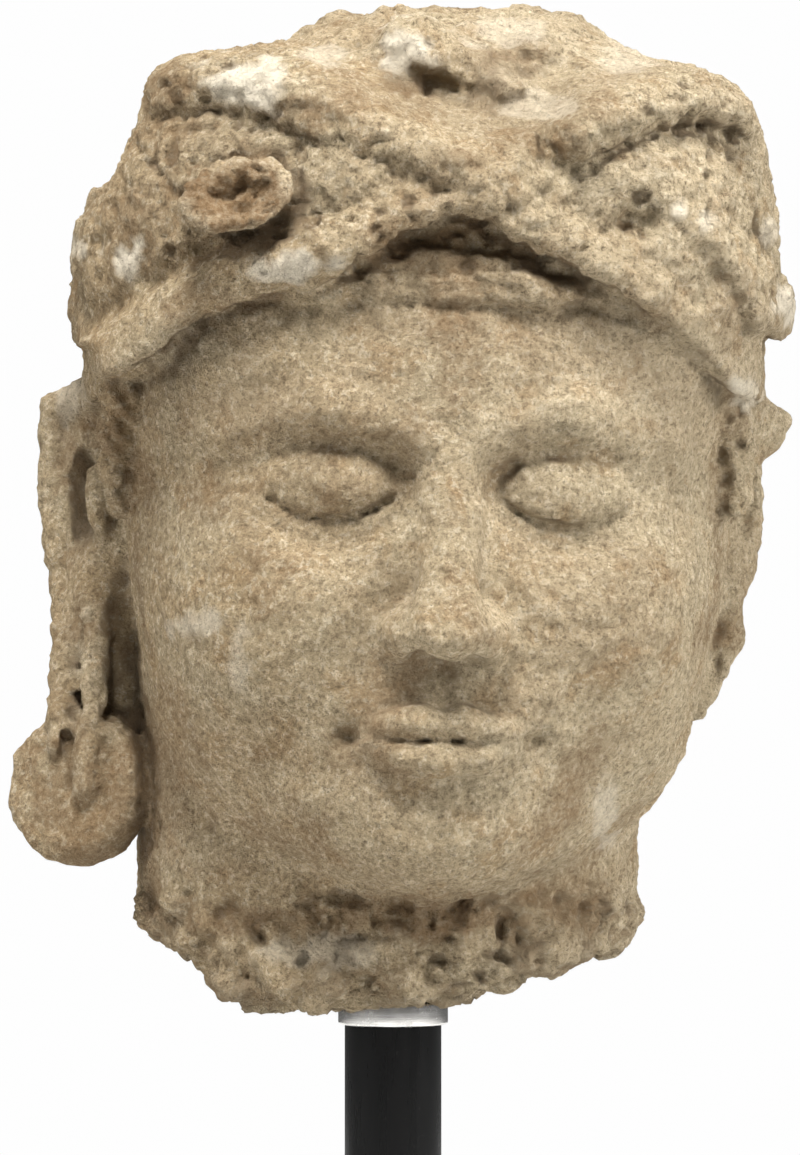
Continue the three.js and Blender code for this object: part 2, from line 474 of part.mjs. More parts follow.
// The mesh brought down to fewer triangles, by closing the edges that matter least to its shape
function reduce({ points, faces }, wanted, weight) {
  const quadric = points.map(() => new Float64Array(10));
  const around = points.map(() => new Set());
  const normalOf = ([a, b, c]) => {
    const [p, q, r] = [points[a], points[b], points[c]];
    const [ux, uy, uz, vx, vy, vz] = [q[0] - p[0], q[1] - p[1], q[2] - p[2], r[0] - p[0], r[1] - p[1], r[2] - p[2]];
    return [uy * vz - uz * vy, uz * vx - ux * vz, ux * vy - uy * vx];
  };
  faces.forEach((face, f) => {
    const n = normalOf(face);
    const area = Math.hypot(...n) || 1e-12;
    const [a, b, c] = n.map((part) => part / area);
    const p = points[face[0]];
    const d = -(a * p[0] + b * p[1] + c * p[2]);
    const share = area * weight(p);
    const terms = [a * a, a * b, a * c, a * d, b * b, b * c, b * d, c * c, c * d, d * d];
    for (const corner of face) {
      around[corner].add(f);
      terms.forEach((term, i) => (quadric[corner][i] += term * share));
    }
  });
  const error = (q, [x, y, z]) => {
    const alongX = x * (q[0] * x + 2 * (q[1] * y + q[2] * z + q[3]));
    const alongY = y * (q[4] * y + 2 * (q[5] * z + q[6]));
    return alongX + alongY + z * (q[7] * z + 2 * q[8]) + q[9];
  };
  const plan = (a, b) => {
    const q = quadric[a].map((term, i) => term + quadric[b][i]);
    const [p, r] = [points[a], points[b]];
    const middle = p.map((v, i) => (v + r[i]) / 2);
    // The best place solves a 3 x 3 system, held near the middle by a small stiffness.
    const hold = 1e-3 * (q[0] + q[4] + q[7]) + 1e-9;
    const m = [q[0] + hold, q[1], q[2], q[4] + hold, q[5], q[7] + hold];
    const t = [hold * middle[0] - q[3], hold * middle[1] - q[6], hold * middle[2] - q[8]];
    const c0 = m[3] * m[5] - m[4] * m[4];
    const c1 = m[2] * m[4] - m[1] * m[5];
    const c2 = m[1] * m[4] - m[2] * m[3];
    const det = m[0] * c0 + m[1] * c1 + m[2] * c2;
    const at = [
      (c0 * t[0] + c1 * t[1] + c2 * t[2]) / det,
      (c1 * t[0] + (m[0] * m[5] - m[2] * m[2]) * t[1] + (m[1] * m[2] - m[0] * m[4]) * t[2]) / det,
      (c2 * t[0] + (m[1] * m[2] - m[0] * m[4]) * t[1] + (m[0] * m[3] - m[1] * m[1]) * t[2]) / det,
    ];
    const length = Math.hypot(p[0] - r[0], p[1] - r[1], p[2] - r[2]);
    const far = Math.hypot(...at.map((v, i) => v - middle[i])) > 2 * length;
    const to = far || !Number.isFinite(at[0]) ? middle : at;
    return { a, b, to, cost: error(q, to) + 1e-4 * length ** 4, turnA: turn[a], turnB: turn[b] };
  };
  const turn = new Int32Array(points.length);
  const heap = [];
  const push = (item) => {
    let i = heap.push(item) - 1;
    while (i > 0 && heap[(i - 1) >> 1].cost > item.cost) {
      heap[i] = heap[(i - 1) >> 1];
      i = (i - 1) >> 1;
    }
    heap[i] = item;
  };
  const pop = () => {
    const top = heap[0];
    const last = heap.pop();
    let i = 0;
    while (2 * i + 1 < heap.length) {
      let child = 2 * i + 1;
      if (child + 1 < heap.length && heap[child + 1].cost < heap[child].cost) child++;
      if (heap[child].cost >= last.cost) break;
      heap[i] = heap[child];
      i = child;
    }
    if (heap.length) heap[i] = last;
    return top;
  };
  for (const [a, b, c] of faces) {
    if (a < b) push(plan(a, b));
    if (b < c) push(plan(b, c));
    if (c < a) push(plan(c, a));
  }
  const neighbours = (v) => {
    const found = new Set();
    for (const f of around[v]) for (const corner of faces[f]) if (corner !== v) found.add(corner);
    return found;
  };
  let left = faces.length;
  while (left > wanted && heap.length) {
    const { a, b, to, turnA, turnB } = pop();
    if (turn[a] !== turnA || turn[b] !== turnB || !around[a].size || !around[b].size) continue;
    const nearB = neighbours(b);
    const shared = [...neighbours(a)].filter((v) => nearB.has(v));
    if (shared.length !== 2) continue;
    const flips = [a, b].some((v) => [...around[v]].some((f) => {
      if (faces[f].includes(a) && faces[f].includes(b)) return false;
      const before = normalOf(faces[f]);
      const kept = points[v];
      points[v] = to;
      const after = normalOf(faces[f]);
      points[v] = kept;
      const size = Math.hypot(...after);
      return before[0] * after[0] + before[1] * after[1] + before[2] * after[2] <= 0.25 * Math.hypot(...before) * size;
    }));
    if (flips) continue;
    points[a] = to;
    quadric[a] = quadric[a].map((term, i) => term + quadric[b][i]);
    for (const f of around[b]) {
      if (faces[f].includes(a)) {
        for (const corner of faces[f]) around[corner].delete(f);
        left--;
      } else {
        faces[f] = faces[f].map((corner) => (corner === b ? a : corner));
        around[a].add(f);
      }
    }
    around[b].clear();
    turn[a]++;
    turn[b]++;
    for (const v of neighbours(a)) push(plan(a, v));
  }
  return { points, faces: faces.filter((face, f) => around[face[0]].has(f)) };
}

// Placed and joined
const wasm = await Module();
wasm.setup();
const { Manifold, Mesh } = wasm;

// Welded corners, with the triangles that a turned shape folds onto its axis left out
function welded(geometry) {
  const bare = geometry.clone();
  bare.deleteAttribute("normal");
  bare.deleteAttribute("uv");
  const whole = mergeVertices(bare, 1e-4);
  const index = [...whole.index.array];
  const kept = [];
  for (let i = 0; i < index.length; i += 3) {
    const [a, b, c] = index.slice(i, i + 3);
    if (a !== b && b !== c && c !== a) kept.push(a, b, c);
  }
  whole.setIndex(kept);
  return whole;
}
// A solid turned about the z axis from points [radius, height]
function turned(profile, sides, start = 0) {
  const lathe = new THREE.LatheGeometry(profile.map(([r, h]) => new THREE.Vector2(r, h)), sides, start);
  return welded(lathe.rotateX(Math.PI / 2));
}
const toSolid = (geometry) => new Manifold(new Mesh({
  numProp: 3,
  vertProperties: Float32Array.from(geometry.attributes.position.array),
  triVerts: Uint32Array.from(geometry.index.array),
}));
function toGeometry(solid) {
  const mesh = solid.getMesh();
  const geometry = new THREE.BufferGeometry();
  geometry.setAttribute("position", new THREE.BufferAttribute(Float32Array.from(mesh.vertProperties), 3));
  geometry.setIndex([...mesh.triVerts]);
  return geometry;
}
const disc = (radius, low, high) => turned([[0, low], [radius, low], [radius, high], [0, high]], roundSides);

const postRadius = postDiameter / 2;
const collarInside = postRadius + gap;
const collarOutside = collarInside + collarWall;
const collarLevel = footHeight + shownPostHeight;
const seatLevel = collarLevel + collarHeight + gap;
const postLow = footHeight - postInFoot;
const postHigh = seatLevel + postInNeck;

// Head, with a flat seat for the collar and a socket for the post
const wantedTriangles = 8400;
const drawn = reduce(skin(stucco), wantedTriangles, ([, y, z]) => (y < -20 && z > 20 ? 2.5 : 1));
const numbering = new Map();
const corners = [];
for (const face of drawn.faces) {
  for (const corner of face) {
    if (!numbering.has(corner)) {
      numbering.set(corner, numbering.size);
      corners.push(...drawn.points[corner].map((v) => (v * headHeight) / carvedHeight));
    }
  }
}
const carved = new THREE.BufferGeometry();
carved.setAttribute("position", new THREE.BufferAttribute(new Float32Array(corners), 3));
carved.setIndex(drawn.faces.flat().map((corner) => numbering.get(corner)));
carved.translate(0, 0, seatLevel);
const headSolid = toSolid(carved)
  .subtract(toSolid(disc(collarOutside + seatMargin, seatLevel - headHeight / 10, seatLevel)))
  .subtract(toSolid(disc(postRadius + gap, seatLevel - 1, postHigh + gap)));

// Foot: a square block with bevelled top edges and a hole for the post
const halfDiagonal = footWidth / Math.SQRT2;
const footBlock = turned([
  [0, 0],
  [halfDiagonal, 0],
  [halfDiagonal, footHeight - footBevel],
  [halfDiagonal - footBevel * Math.SQRT2, footHeight],
  [0, footHeight],
], 4, Math.PI / 4);
const footSolid = toSolid(footBlock).subtract(toSolid(disc(postRadius + gap, postLow - gap, footHeight + 1)));

// Collar: a plain ring round the post, just under the neck
const collar = turned([
  [collarInside, collarLevel],
  [collarOutside - 0.3, collarLevel],
  [collarOutside, collarLevel + 0.3],
  [collarOutside, collarLevel + collarHeight - 0.3],
  [collarOutside - 0.3, collarLevel + collarHeight],
  [collarInside, collarLevel + collarHeight],
  [collarInside, collarLevel],
], roundSides);

const object = new THREE.Group();
object.name = "bodhisattva_head";
function add(name, geometry, color, roughness, metalness) {
  const material = new THREE.MeshStandardMaterial({ color, roughness, metalness });
  material.name = name;
  const mesh = new THREE.Mesh(geometry, material);
  mesh.name = name;
  object.add(mesh);
}
add("head", toGeometry(headSolid), 0xb09a76, 0.95, 0);
add("post", disc(postRadius, postLow, postHigh), 0x1a1a1a, 0.3, 0);
add("collar", collar, 0x8f8c88, 0.25, 1);
add("foot", toGeometry(footSolid), 0x1c1c1c, 0.4, 0);

export default object;
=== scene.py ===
"""A weathered stucco head in a wrapped turban, broken off at the neck, on a black post with a square foot.

The head is carved as one field of distances, in millimetres, with the same forms and places as the solid
that it stands for, but finer. The post, collar and foot take their sizes from the solids.
"""

import math

import bmesh
import bpy
import numpy as np
from bpy.props import FloatProperty, FloatVectorProperty, IntProperty, PointerProperty
from bpy.types import Operator, Panel, PropertyGroup
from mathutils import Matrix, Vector


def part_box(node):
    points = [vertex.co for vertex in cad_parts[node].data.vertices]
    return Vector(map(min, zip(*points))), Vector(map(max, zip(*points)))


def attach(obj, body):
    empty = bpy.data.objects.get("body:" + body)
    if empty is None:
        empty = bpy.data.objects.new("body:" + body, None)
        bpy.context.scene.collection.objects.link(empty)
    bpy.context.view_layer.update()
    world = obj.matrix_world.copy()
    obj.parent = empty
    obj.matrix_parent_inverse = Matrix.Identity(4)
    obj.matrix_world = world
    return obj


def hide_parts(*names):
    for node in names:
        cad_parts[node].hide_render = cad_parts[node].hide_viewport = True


bl_info = {
    "name": "Stucco Head on a Post",
    "version": (1, 0, 0),
    "blender": (4, 5, 0),
    "location": "3D View > Sidebar > Stucco Head",
    "description": "Carves a weathered stucco head in a turban and finishes its post, collar and foot",
    "category": "Add Mesh",
}

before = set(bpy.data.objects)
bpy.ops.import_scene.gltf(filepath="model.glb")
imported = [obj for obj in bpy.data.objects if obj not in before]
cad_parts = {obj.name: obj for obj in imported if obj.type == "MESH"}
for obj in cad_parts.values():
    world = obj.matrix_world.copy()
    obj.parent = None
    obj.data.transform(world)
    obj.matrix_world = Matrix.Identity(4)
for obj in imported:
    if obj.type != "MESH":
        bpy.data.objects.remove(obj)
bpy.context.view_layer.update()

HEAD_LOW, HEAD_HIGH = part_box("head")
COLLAR_LOW, COLLAR_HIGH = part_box("collar")
POST_LOW, POST_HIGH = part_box("post")
# The gap between touching pieces, and the height of the head's seat on the collar, in millimetres
GAP = 0.3
SEAT = COLLAR_HIGH[2] * 1000 + GAP

# The view that the head is laid out for, in millimetres from the collar's top
EYE_DISTANCE = 1300
EYE_HEIGHT = 109
EYE_ACROSS = 1.8
PHOTO_HEIGHT = 1155
MM_PER_PIXEL = 0.2587

# The face's own canon, in millimetres: shares of its width and of the skull's height
FACE_WIDTH = 156
SKULL_HEIGHT = 210
CHIN_HEIGHT = 27
FACE_MIDDLE = 8
FACE_TURN = math.radians(5)
FACE_TILT = math.radians(2)
EYE_WIDTH = FACE_WIDTH / 5
EYE_LEVEL = CHIN_HEIGHT + SKULL_HEIGHT / 2
BROW_LINE = SKULL_HEIGHT / 14
NOSE_BASE = (BROW_LINE - SKULL_HEIGHT / 2) / 2
MOUTH_LINE = NOSE_BASE - (SKULL_HEIGHT / 2 + NOSE_BASE) / 3


# Distances and blends
def smooth(start, end, v):
    """0 at the start, 1 at the end and beyond, with a soft rise between them."""
    t = np.clip((v - start) / (end - start), 0, 1)
    return t * t * (3 - 2 * t)


def join(a, b, k):
    """Both forms as one, with a fillet about k wide between them."""
    h = np.maximum(k - np.abs(a - b), 0)
    return np.minimum(a, b) - h * h / (4 * k)


def common(a, b, k):
    """What two forms have in common, with an edge rounded by about k."""
    return -join(-a, -b, k)


def carve(a, b, k):
    """The first form with the second one cut out of it."""
    return -join(-a, b, k)


def reach(*parts):
    return np.sqrt(sum(part * part for part in parts))


def ellipsoid(x, y, z, rx, ry, rz):
    near = reach(x / rx, y / ry, z / rz)
    slope = reach(x / (rx * rx), y / (ry * ry), z / (rz * rz))
    return near * (near - 1) / np.maximum(slope, 1e-9)


def taper(x, y, z, a, b, ra, rb):
    """A round rod from a to b whose radius goes from ra to rb."""
    d = [q - p for p, q in zip(a, b)]
    along = (x - a[0]) * d[0] + (y - a[1]) * d[1] + (z - a[2]) * d[2]
    t = np.clip(along / sum(part * part for part in d), 0, 1)
    return reach(x - a[0] - t * d[0], y - a[1] - t * d[1], z - a[2] - t * d[2]) - ra - t * (rb - ra)


def chain(x, y, z, points, start, end, k):
    """A tapering rod that bends through the points."""
    step = (end - start) / (len(points) - 1)
    d = None
    for i, (a, b) in enumerate(zip(points, points[1:])):
        piece = taper(x, y, z, a, b, start + i * step, start + (i + 1) * step)
        d = piece if d is None else join(d, piece, k)
    return d


def boxy(x, y, z, rx, ry, rz, above, aside):
    """A pillow: the larger above and aside are, the squarer it is from above and from the side."""
    plan = (np.abs(x / rx) ** above + np.abs(y / ry) ** above) ** (aside / above)
    return ((plan + np.abs(z / rz) ** aside) ** (1 / aside) - 1) * min(rx, ry, rz)


def edge(points, x):
    """The height at x of an edge that runs through points (x, z)."""
    xs, zs = zip(*points)
    return np.interp(x, xs, zs)


def from_line(points, x, z):
    """How far each place on the front is from a line through points (x, z)."""
    nearest = None
    for (ax, az), (bx, bz) in zip(points, points[1:]):
        dx, dz = bx - ax, bz - az
        t = np.clip(((x - ax) * dx + (z - az) * dz) / (dx * dx + dz * dz), 0, 1)
        d = reach(x - ax - t * dx, z - az - t * dz)
        nearest = d if nearest is None else np.minimum(nearest, d)
    return nearest


def dip(distance, width):
    """1 at distance 0, fading out over the width."""
    return np.exp(-((distance / width) ** 2))


def roll(points, x, z, width, height):
    """How far a half-round roll along a line stands out."""
    return height * np.sqrt(np.maximum(1 - (from_line(points, x, z) / width) ** 2, 0))


def lumps(x, y, z, size):
    """Soft uneven swelling between about -1 and 1."""
    k = 2 * math.pi / size
    first = np.sin(k * (x + 0.4 * z) + 1.3) * np.sin(k * (0.9 * y - 0.3 * x) + 0.7)
    second = np.sin(k * (1.1 * z + 0.5 * y) + 2.1) * np.sin(k * (0.8 * x - 0.6 * y) + 4)
    return (first + second) / 2


def crumble(points, size, seed):
    """Smooth random values between -1 and 1, in lumps of about the given size."""
    side = 32
    table = np.random.default_rng(seed).uniform(-1, 1, (side, side, side))
    p = points / size
    low = np.floor(p).astype(int)
    f = p - low
    f = f * f * (3 - 2 * f)
    total = np.zeros(len(points))
    for corner in np.ndindex(2, 2, 2):
        i, j, k = ((low + corner) % side).T
        total += np.where(corner, f, 1 - f).prod(1) * table[i, j, k]
    return total


def face_frame(x, y, z):
    """Places on the turned and tilted face: u to the right, v out of the face, w up from the eyes."""
    dx = x - FACE_MIDDLE
    dz = z - EYE_LEVEL
    turned = dx * math.cos(FACE_TURN) + y * math.sin(FACE_TURN)
    v = dx * math.sin(FACE_TURN) - y * math.cos(FACE_TURN)
    u = turned * math.cos(FACE_TILT) - dz * math.sin(FACE_TILT)
    w = turned * math.sin(FACE_TILT) + dz * math.cos(FACE_TILT)
    return u, v, w


def face_mass(u, v, w):
    """Skull, cheeks, jaw and the round of the mouth."""
    side = np.abs(u)
    d = ellipsoid(u, v - 16, w + 6, FACE_WIDTH / 2, 66, 98)
    d = join(d, boxy(u, v - 9, w - 38, 77, 70, 46, 3.4, 2.4), 10)
    d = join(d, ellipsoid(side - 34, v - 47, w + 34, 31, 30, 34), 20)
    d = join(d, ellipsoid(side - 35, v - 24, w + 60, 30, 32, 30), 16)
    d = join(d, ellipsoid(u, v - 55, w - MOUTH_LINE - 2, 34, 26, 26), 16)
    d = join(d, ellipsoid(side - 16, v - 40, w + SKULL_HEIGHT / 2 - 24, 26, 28, 20), 14)
    return join(d, ellipsoid(u, v - 54, w + SKULL_HEIGHT / 2 - 18, 24, 26, 18), 14)


def eyes(d, u, v, w):
    side = np.abs(u)
    eye = side - EYE_WIDTH
    deep = v + 0.22 * eye
    d = carve(d, ellipsoid(eye + 1, deep - 91.5, w - 1, 23, 18, 14), 10)
    d = carve(d, ellipsoid(eye, deep - 93.5, w + 10, 22, 16, 13), 12)
    d = carve(d, ellipsoid(side - 14.5, v - 90, w - 2, 7, 15, 12), 8)
    d = join(d, taper(side, v, w, (8, 77, BROW_LINE - 2), (31, 75.5, BROW_LINE + 5), 4.6, 4.6), 8)
    d = join(d, taper(side, v, w, (31, 75.5, BROW_LINE + 5), (58, 60, BROW_LINE - 3), 4.6, 3), 8)
    # The ball of the eye, with the upper lid down over the lower one
    across = (eye / (EYE_WIDTH / 2)) ** 2
    ball = ellipsoid(eye, deep - 61, w - 0.5, 20, 15.5, 14)
    d = join(d, ball, 6)
    lid_edge = -8.2 + 5 * across
    d = join(d, common(ball - 2.4, lid_edge - w, 0.8), 1.5)
    lower_lid = common(w - lid_edge + 1.4, lid_edge - 6 + 3 * across - w, 2)
    d = join(d, common(ball - 1.3, lower_lid, 1.5), 2)
    in_eye = smooth(1.6, 0.8, across) * smooth(56, 64, v)
    d = d + 0.7 * in_eye * dip(w - 11 + 6 * across, 2.6)
    d = d + 0.6 * in_eye * dip(w + 16 - 6 * across, 2)
    return d + 1.3 * in_eye * dip(w - lid_edge + 0.8, 0.9)


def nose(d, u, v, w):
    """A straight nose with its ridge and tip rubbed off."""
    side = np.abs(u)
    form = taper(u, v, w, (0, 73.5, 16), (0, 88, NOSE_BASE + 12), 6, 8.4)
    form = join(form, ellipsoid(u, v - 88.5, w - NOSE_BASE - 9, 10, 11.5, 8.6), 5)
    form = join(form, ellipsoid(side - 10.4, v - 81.5, w - NOSE_BASE - 6.5, 6.6, 9.5, 7), 4)
    form = common(form, NOSE_BASE - 0.6 - w + 0.12 * (v - 84), 2)
    form = carve(form, ellipsoid(side - 6.6, v - 86.5, w - NOSE_BASE, 3, 5.4, 3), 1.5)
    form = common(form, v - (86.5 - 0.3 * w) - 0.8 * lumps(u, v, w, 9), 2)
    return join(d, form, 4.5)


def lips(d, u, v, w):
    side = np.abs(u)
    m = MOUTH_LINE
    d = carve(d, taper(u, v, w, (0, 84.5, NOSE_BASE - 3), (0, 85.5, m + 9), 3, 3.6), 3)
    d = carve(d, ellipsoid(u, v - 88, w - m + 15.5, 16, 9, 4.6), 8)
    upper_line = ((0, 82.2, m + 3.4), (5.5, 83.4, m + 4.8), (14, 80.4, m + 3), (23.5, 74.6, m + 0.8))
    mouth = chain(side, v, w, upper_line, 4.6, 3.2, 1.5)
    lower_line = ((0, 82, m - 5), (10, 80.8, m - 4.3), (21.5, 75, m - 1))
    mouth = join(mouth, chain(side, v, w, lower_line, 5.4, 3.2, 1.5), 3)
    d = join(d, mouth, 1.5)
    parting = 0.6 - 0.9 * np.cos(side * 0.36) * smooth(16, 6, side) - 0.003 * side * side
    open_part = smooth(EYE_WIDTH * 0.78, EYE_WIDTH * 0.4, side) * smooth(50, 60, v)
    d = d + 0.9 * dip(w - m + parting, 1) * open_part
    return carve(d, ellipsoid(side - EYE_WIDTH * 0.78, v - 79, w - m - 0.4, 3, 6, 2.6), 4)


def broken_chin(d, u, v, w):
    """The front of the chin is rubbed off in a rough patch."""
    away = reach(u / 16, (w + 94) / 10)
    return common(d, v - 77.6 - 3 * away * away - 1.2 * lumps(u, v, w, 11), 2)


def face_features(d, x, y, z):
    u, v, w = face_frame(x, y, z)
    d = eyes(d, u, v, w)
    d = nose(d, u, v, w)
    d = lips(d, u, v, w)
    return broken_chin(d, u, v, w)


# Turban, as it lies over the front: x and z of its edges and folds
CLOTH_EDGE = ((-80, 157), (-63, 166), (-50, 177), (-37, 181), (-16, 186), (3, 198), (16, 203), (25, 202),
              (33, 195.5), (43, 191), (54, 185), (64, 180), (77, 172), (90, 159))
BAND_EDGE = ((-80, 152), (-63, 161.5), (-50, 172), (-37, 178), (-26, 180), (41, 179), (50, 180.5),
             (64, 175.5), (77, 166), (90, 156))
LOWER_ROLL = ((-84, 160), (-70, 166), (-60, 174), (-48, 182), (-36, 187), (-24, 190))
ROLL_END = ((-40, 189), (-22, 193), (-8, 197), (4, 204))
ROLL_GROOVE = ((-84, 172), (-66, 184), (-50, 193), (-38, 197))
LEFT_ARM = ((-64, 240), (-44, 240.5), (-28, 237), (-10, 229), (6, 224), (16, 219))
LEFT_ARM_UNDER = ((-66, 233.5), (-45, 232.5), (-27, 229), (-13, 225))
RIGHT_ARM = ((50, 226), (66, 232.5), (80, 235), (94, 231))
RIGHT_ARM_UNDER = ((46, 217), (54, 221.5), (66, 225), (78, 227), (92, 226))
ARCH_LIP = ((2, 203), (10, 207), (18, 208.5), (27, 206), (36, 200), (46, 195.5), (57, 189.5), (67, 183.5))
ARCH_END = ((60, 187.5), (78, 176))
BAND_ROLL = ((-26, 182.6), (-6, 184), (14, 184), (34, 183), (46, 182))
INNER_ROLL = ((-6, 190), (8, 191.5), (22, 190), (34, 188))
RIBBON = ((76, 203), (85, 197), (92, 188), (97, 177))
ARM_EDGE = ((-62, 247), (-30, 246), (-16, 238), (2, 229), (18, 222.5), (30, 222), (43, 226), (52, 234),
            (60, 240), (70, 242), (80, 240), (92, 234))
TOP_EDGE = ((-62, 240), (-55, 243.5), (-42, 245), (-28, 247), (58, 246), (66, 243), (80, 240), (92, 234))
LEFT_SIDE = ((158, 77), (168, 78), (170, 83), (192, 83), (200, 81), (213, 71.5), (226, 65.5), (240, 62))
RIGHT_SIDE = ((162, 93), (171, 94), (174, 101), (180, 101), (206, 99), (220, 96), (231, 93.5), (237, 90))
# Half-round rolls of cloth: line, half width and height
ROLLS = (
    (LOWER_ROLL, 9, 5.5), (ROLL_END, 8.5, 7), (LEFT_ARM, 11, 7.5), (RIGHT_ARM, 9, 8.5), (ARCH_LIP, 7, 5),
    (ARCH_END, 6, 2.8), (RIBBON, 7, 6.5),
)
# Soft swellings: x, z, half width, half height and how far each stands out
SWELLINGS = (
    (48, 223, 7, 7, 9), (74, 206, 24, 24, 5.5), (27, 211, 14, 14, 7.5), (-46, 214, 22, 22, 3),
    (-6, 213, 22, 13, 5), (87, 182, 8, 12, 4),
)


def cloth_relief(x, y, z, front):
    """How far the wound cloth stands out: crossed arms and rolls in front, folds round the sides and back."""
    h = 0
    for line, width, height in ROLLS:
        h = np.maximum(h, roll(line, x, z, width, height))
    for px, pz, wide, high, height in SWELLINGS:
        h = np.maximum(h, height * dip(reach((x - px) / wide, (z - pz) / high), 1))
    h = h - 2 * dip(from_line(ROLL_GROOVE, x, z), 3)
    h = h - 1.2 * dip(from_line(LEFT_ARM_UNDER, x, z - 1), 3.2)
    h = h - 1.2 * dip(from_line(RIGHT_ARM_UNDER, x, z + 1), 3)
    h = h - 4.5 * dip(reach(x - 62.5, (z - 201) * 1.4), 6.5)
    turn = np.arctan2(x - FACE_MIDDLE, 6 - y)
    fold = z - 158 + 12 * np.cos(turn * 1.5) + 4 * np.sin(turn * 4 + z / 30)
    winding = np.abs(np.sin(math.pi * fold / 23))
    return h * front + (1 - front) * (3 * winding ** 0.8 + 0.8 * lumps(x, y, z, 34))


def turban(x, y, z):
    """An inner band, the wound cloth over it, and the worn crest on top."""
    front = smooth(-15, -50, y)
    side_edge = 158 - 0.12 * (y + 20)
    base = boxy(x - FACE_MIDDLE, y - 2, z - 174, 92, 86, 74, 2.6, 4.5)
    band_line = side_edge - 3 + (edge(BAND_EDGE, x) - side_edge + 3) * front + 0.8 * lumps(x, y, z, 12)
    band = base + 3.2 - 2.4 * smooth(50, 76, x) * front + 0.04 * np.maximum(z - 190, 0)
    band = band - front * (roll(BAND_ROLL, x, z, 4.5, 3) + roll(INNER_ROLL, x, z, 3.6, 2.2))
    band = common(common(band, band_line - z, 1.5 + 5 * smooth(-24, -44, x) * front), z - 210, 3)
    cloth_line = side_edge + (edge(CLOTH_EDGE, x) - side_edge) * front + 1.3 * lumps(x, y, z, 13)
    cloth = common(base - cloth_relief(x, y, z, front), cloth_line - z, 2)
    cloth = common(cloth, -x - edge(LEFT_SIDE, z), 5)
    cloth = common(cloth, x - edge(RIGHT_SIDE, z), 5)
    cloth = common(cloth, 0.9 * (z - edge(ARM_EDGE, x)) - 0.43 * (y + 84), 3)
    cloth = common(cloth, z - edge(TOP_EDGE, x), 3)
    crest = boxy(x - 15, y - 1, z - 231, 45, 69, 24.5, 2.4, 3)
    crest = join(crest, ellipsoid(x - 5, y + 61, z - 245, 9, 9, 8.5), 4)
    crest = crest - 2.2 * lumps(x, y, z, 25)
    crest = carve(crest, ellipsoid(x - 9, y + 70, z - 233.5, 8.5, 8, 4.5), 3)
    return join(band, join(cloth, crest, 4), 1.2 + 5 * smooth(50, 76, x) * front)


def boss(x, y, z):
    """A round boss broken open into a ragged ring."""
    u, v, w = x + 40, y + 84, z - 208 - 0.13 * (x + 40)
    ragged = 0.7 * lumps(x, y, z, 9)
    body = common((reach(u / 13.2, w / 9) - 1) * 9, -v - 6 + ragged, 2.5)
    body = common(body, v - 14, 2)
    ring = reach((reach(u / 11, w / 6.9) - 1) * 6.9, v + 5.7 - 0.35 * w) - 2.7 + ragged
    body = join(body, ring, 1.5)
    return carve(body, taper(u, v, w, (-6, -7, -0.4), (6.5, -7, 1.4), 2.1, 1.7), 1.2)


def loose_ends(d, x, y, z):
    """Bundles of cloth over the left temple, and the ribbon that hangs at the right."""
    d = join(d, ellipsoid(x + 71, y + 14, z - 196, 10.5, 18, 8), 3)
    d = join(d, common(ellipsoid(x + 71, y + 8, z - 180, 12, 18, 16), 169.5 - z, 2), 2)
    ribbon = chain(x, y, z, ((86, -34, 198), (92, -26, 190), (96, -18, 181), (97.5, -14, 176)), 7, 6.5, 3)
    ribbon = common(ribbon, 170.5 - z + 0.25 * (98 - x), 1.5)
    return join(d, ribbon - 1.2 * lumps(x, y, z, 12), 2.5)


def headdress(d, x, y, z):
    d = join(d, turban(x, y, z), 1.5)
    d = join(d, boss(x, y, z), 1.5)
    return loose_ends(d, x, y, z)


# Ears: u runs outwards and back from the cheek, v stands out of the ear, w is up
EAR_LEAN = math.radians(42)
EAR_LEVEL = 127
RIM = ((2, 1, 27), (12, 2, 28.5), (21, 2, 26), (22.5, 2, 20), (22, 2, 4), (20.5, 2, -14), (19, 1, -26))
OUTER_STRAND = ((-84, 13, 104), (-85.5, 2, 84), (-86, -6, 73), (-86.5, -9, 66))
INNER_STRAND = ((-76.5, 6, 108), (-77.4, -5, 86), (-78, -13.5, 69), (-79.4, -15.2, 55.5))
STRAND_SLIT = ((-81, 1, 99), (-81.8, -4, 88), (-82.4, -11, 74))
BROKEN_LOBE = ((-1, 0, -20), (1, 1, -33), (-9, 1, -50))


def ear_plane(x, y, out):
    """Places on an ear; out is -1 for the left one and 1 for the right."""
    u = out * x * math.cos(EAR_LEAN) + y * math.sin(EAR_LEAN)
    v = out * x * math.sin(EAR_LEAN) - y * math.cos(EAR_LEAN)
    return u, v


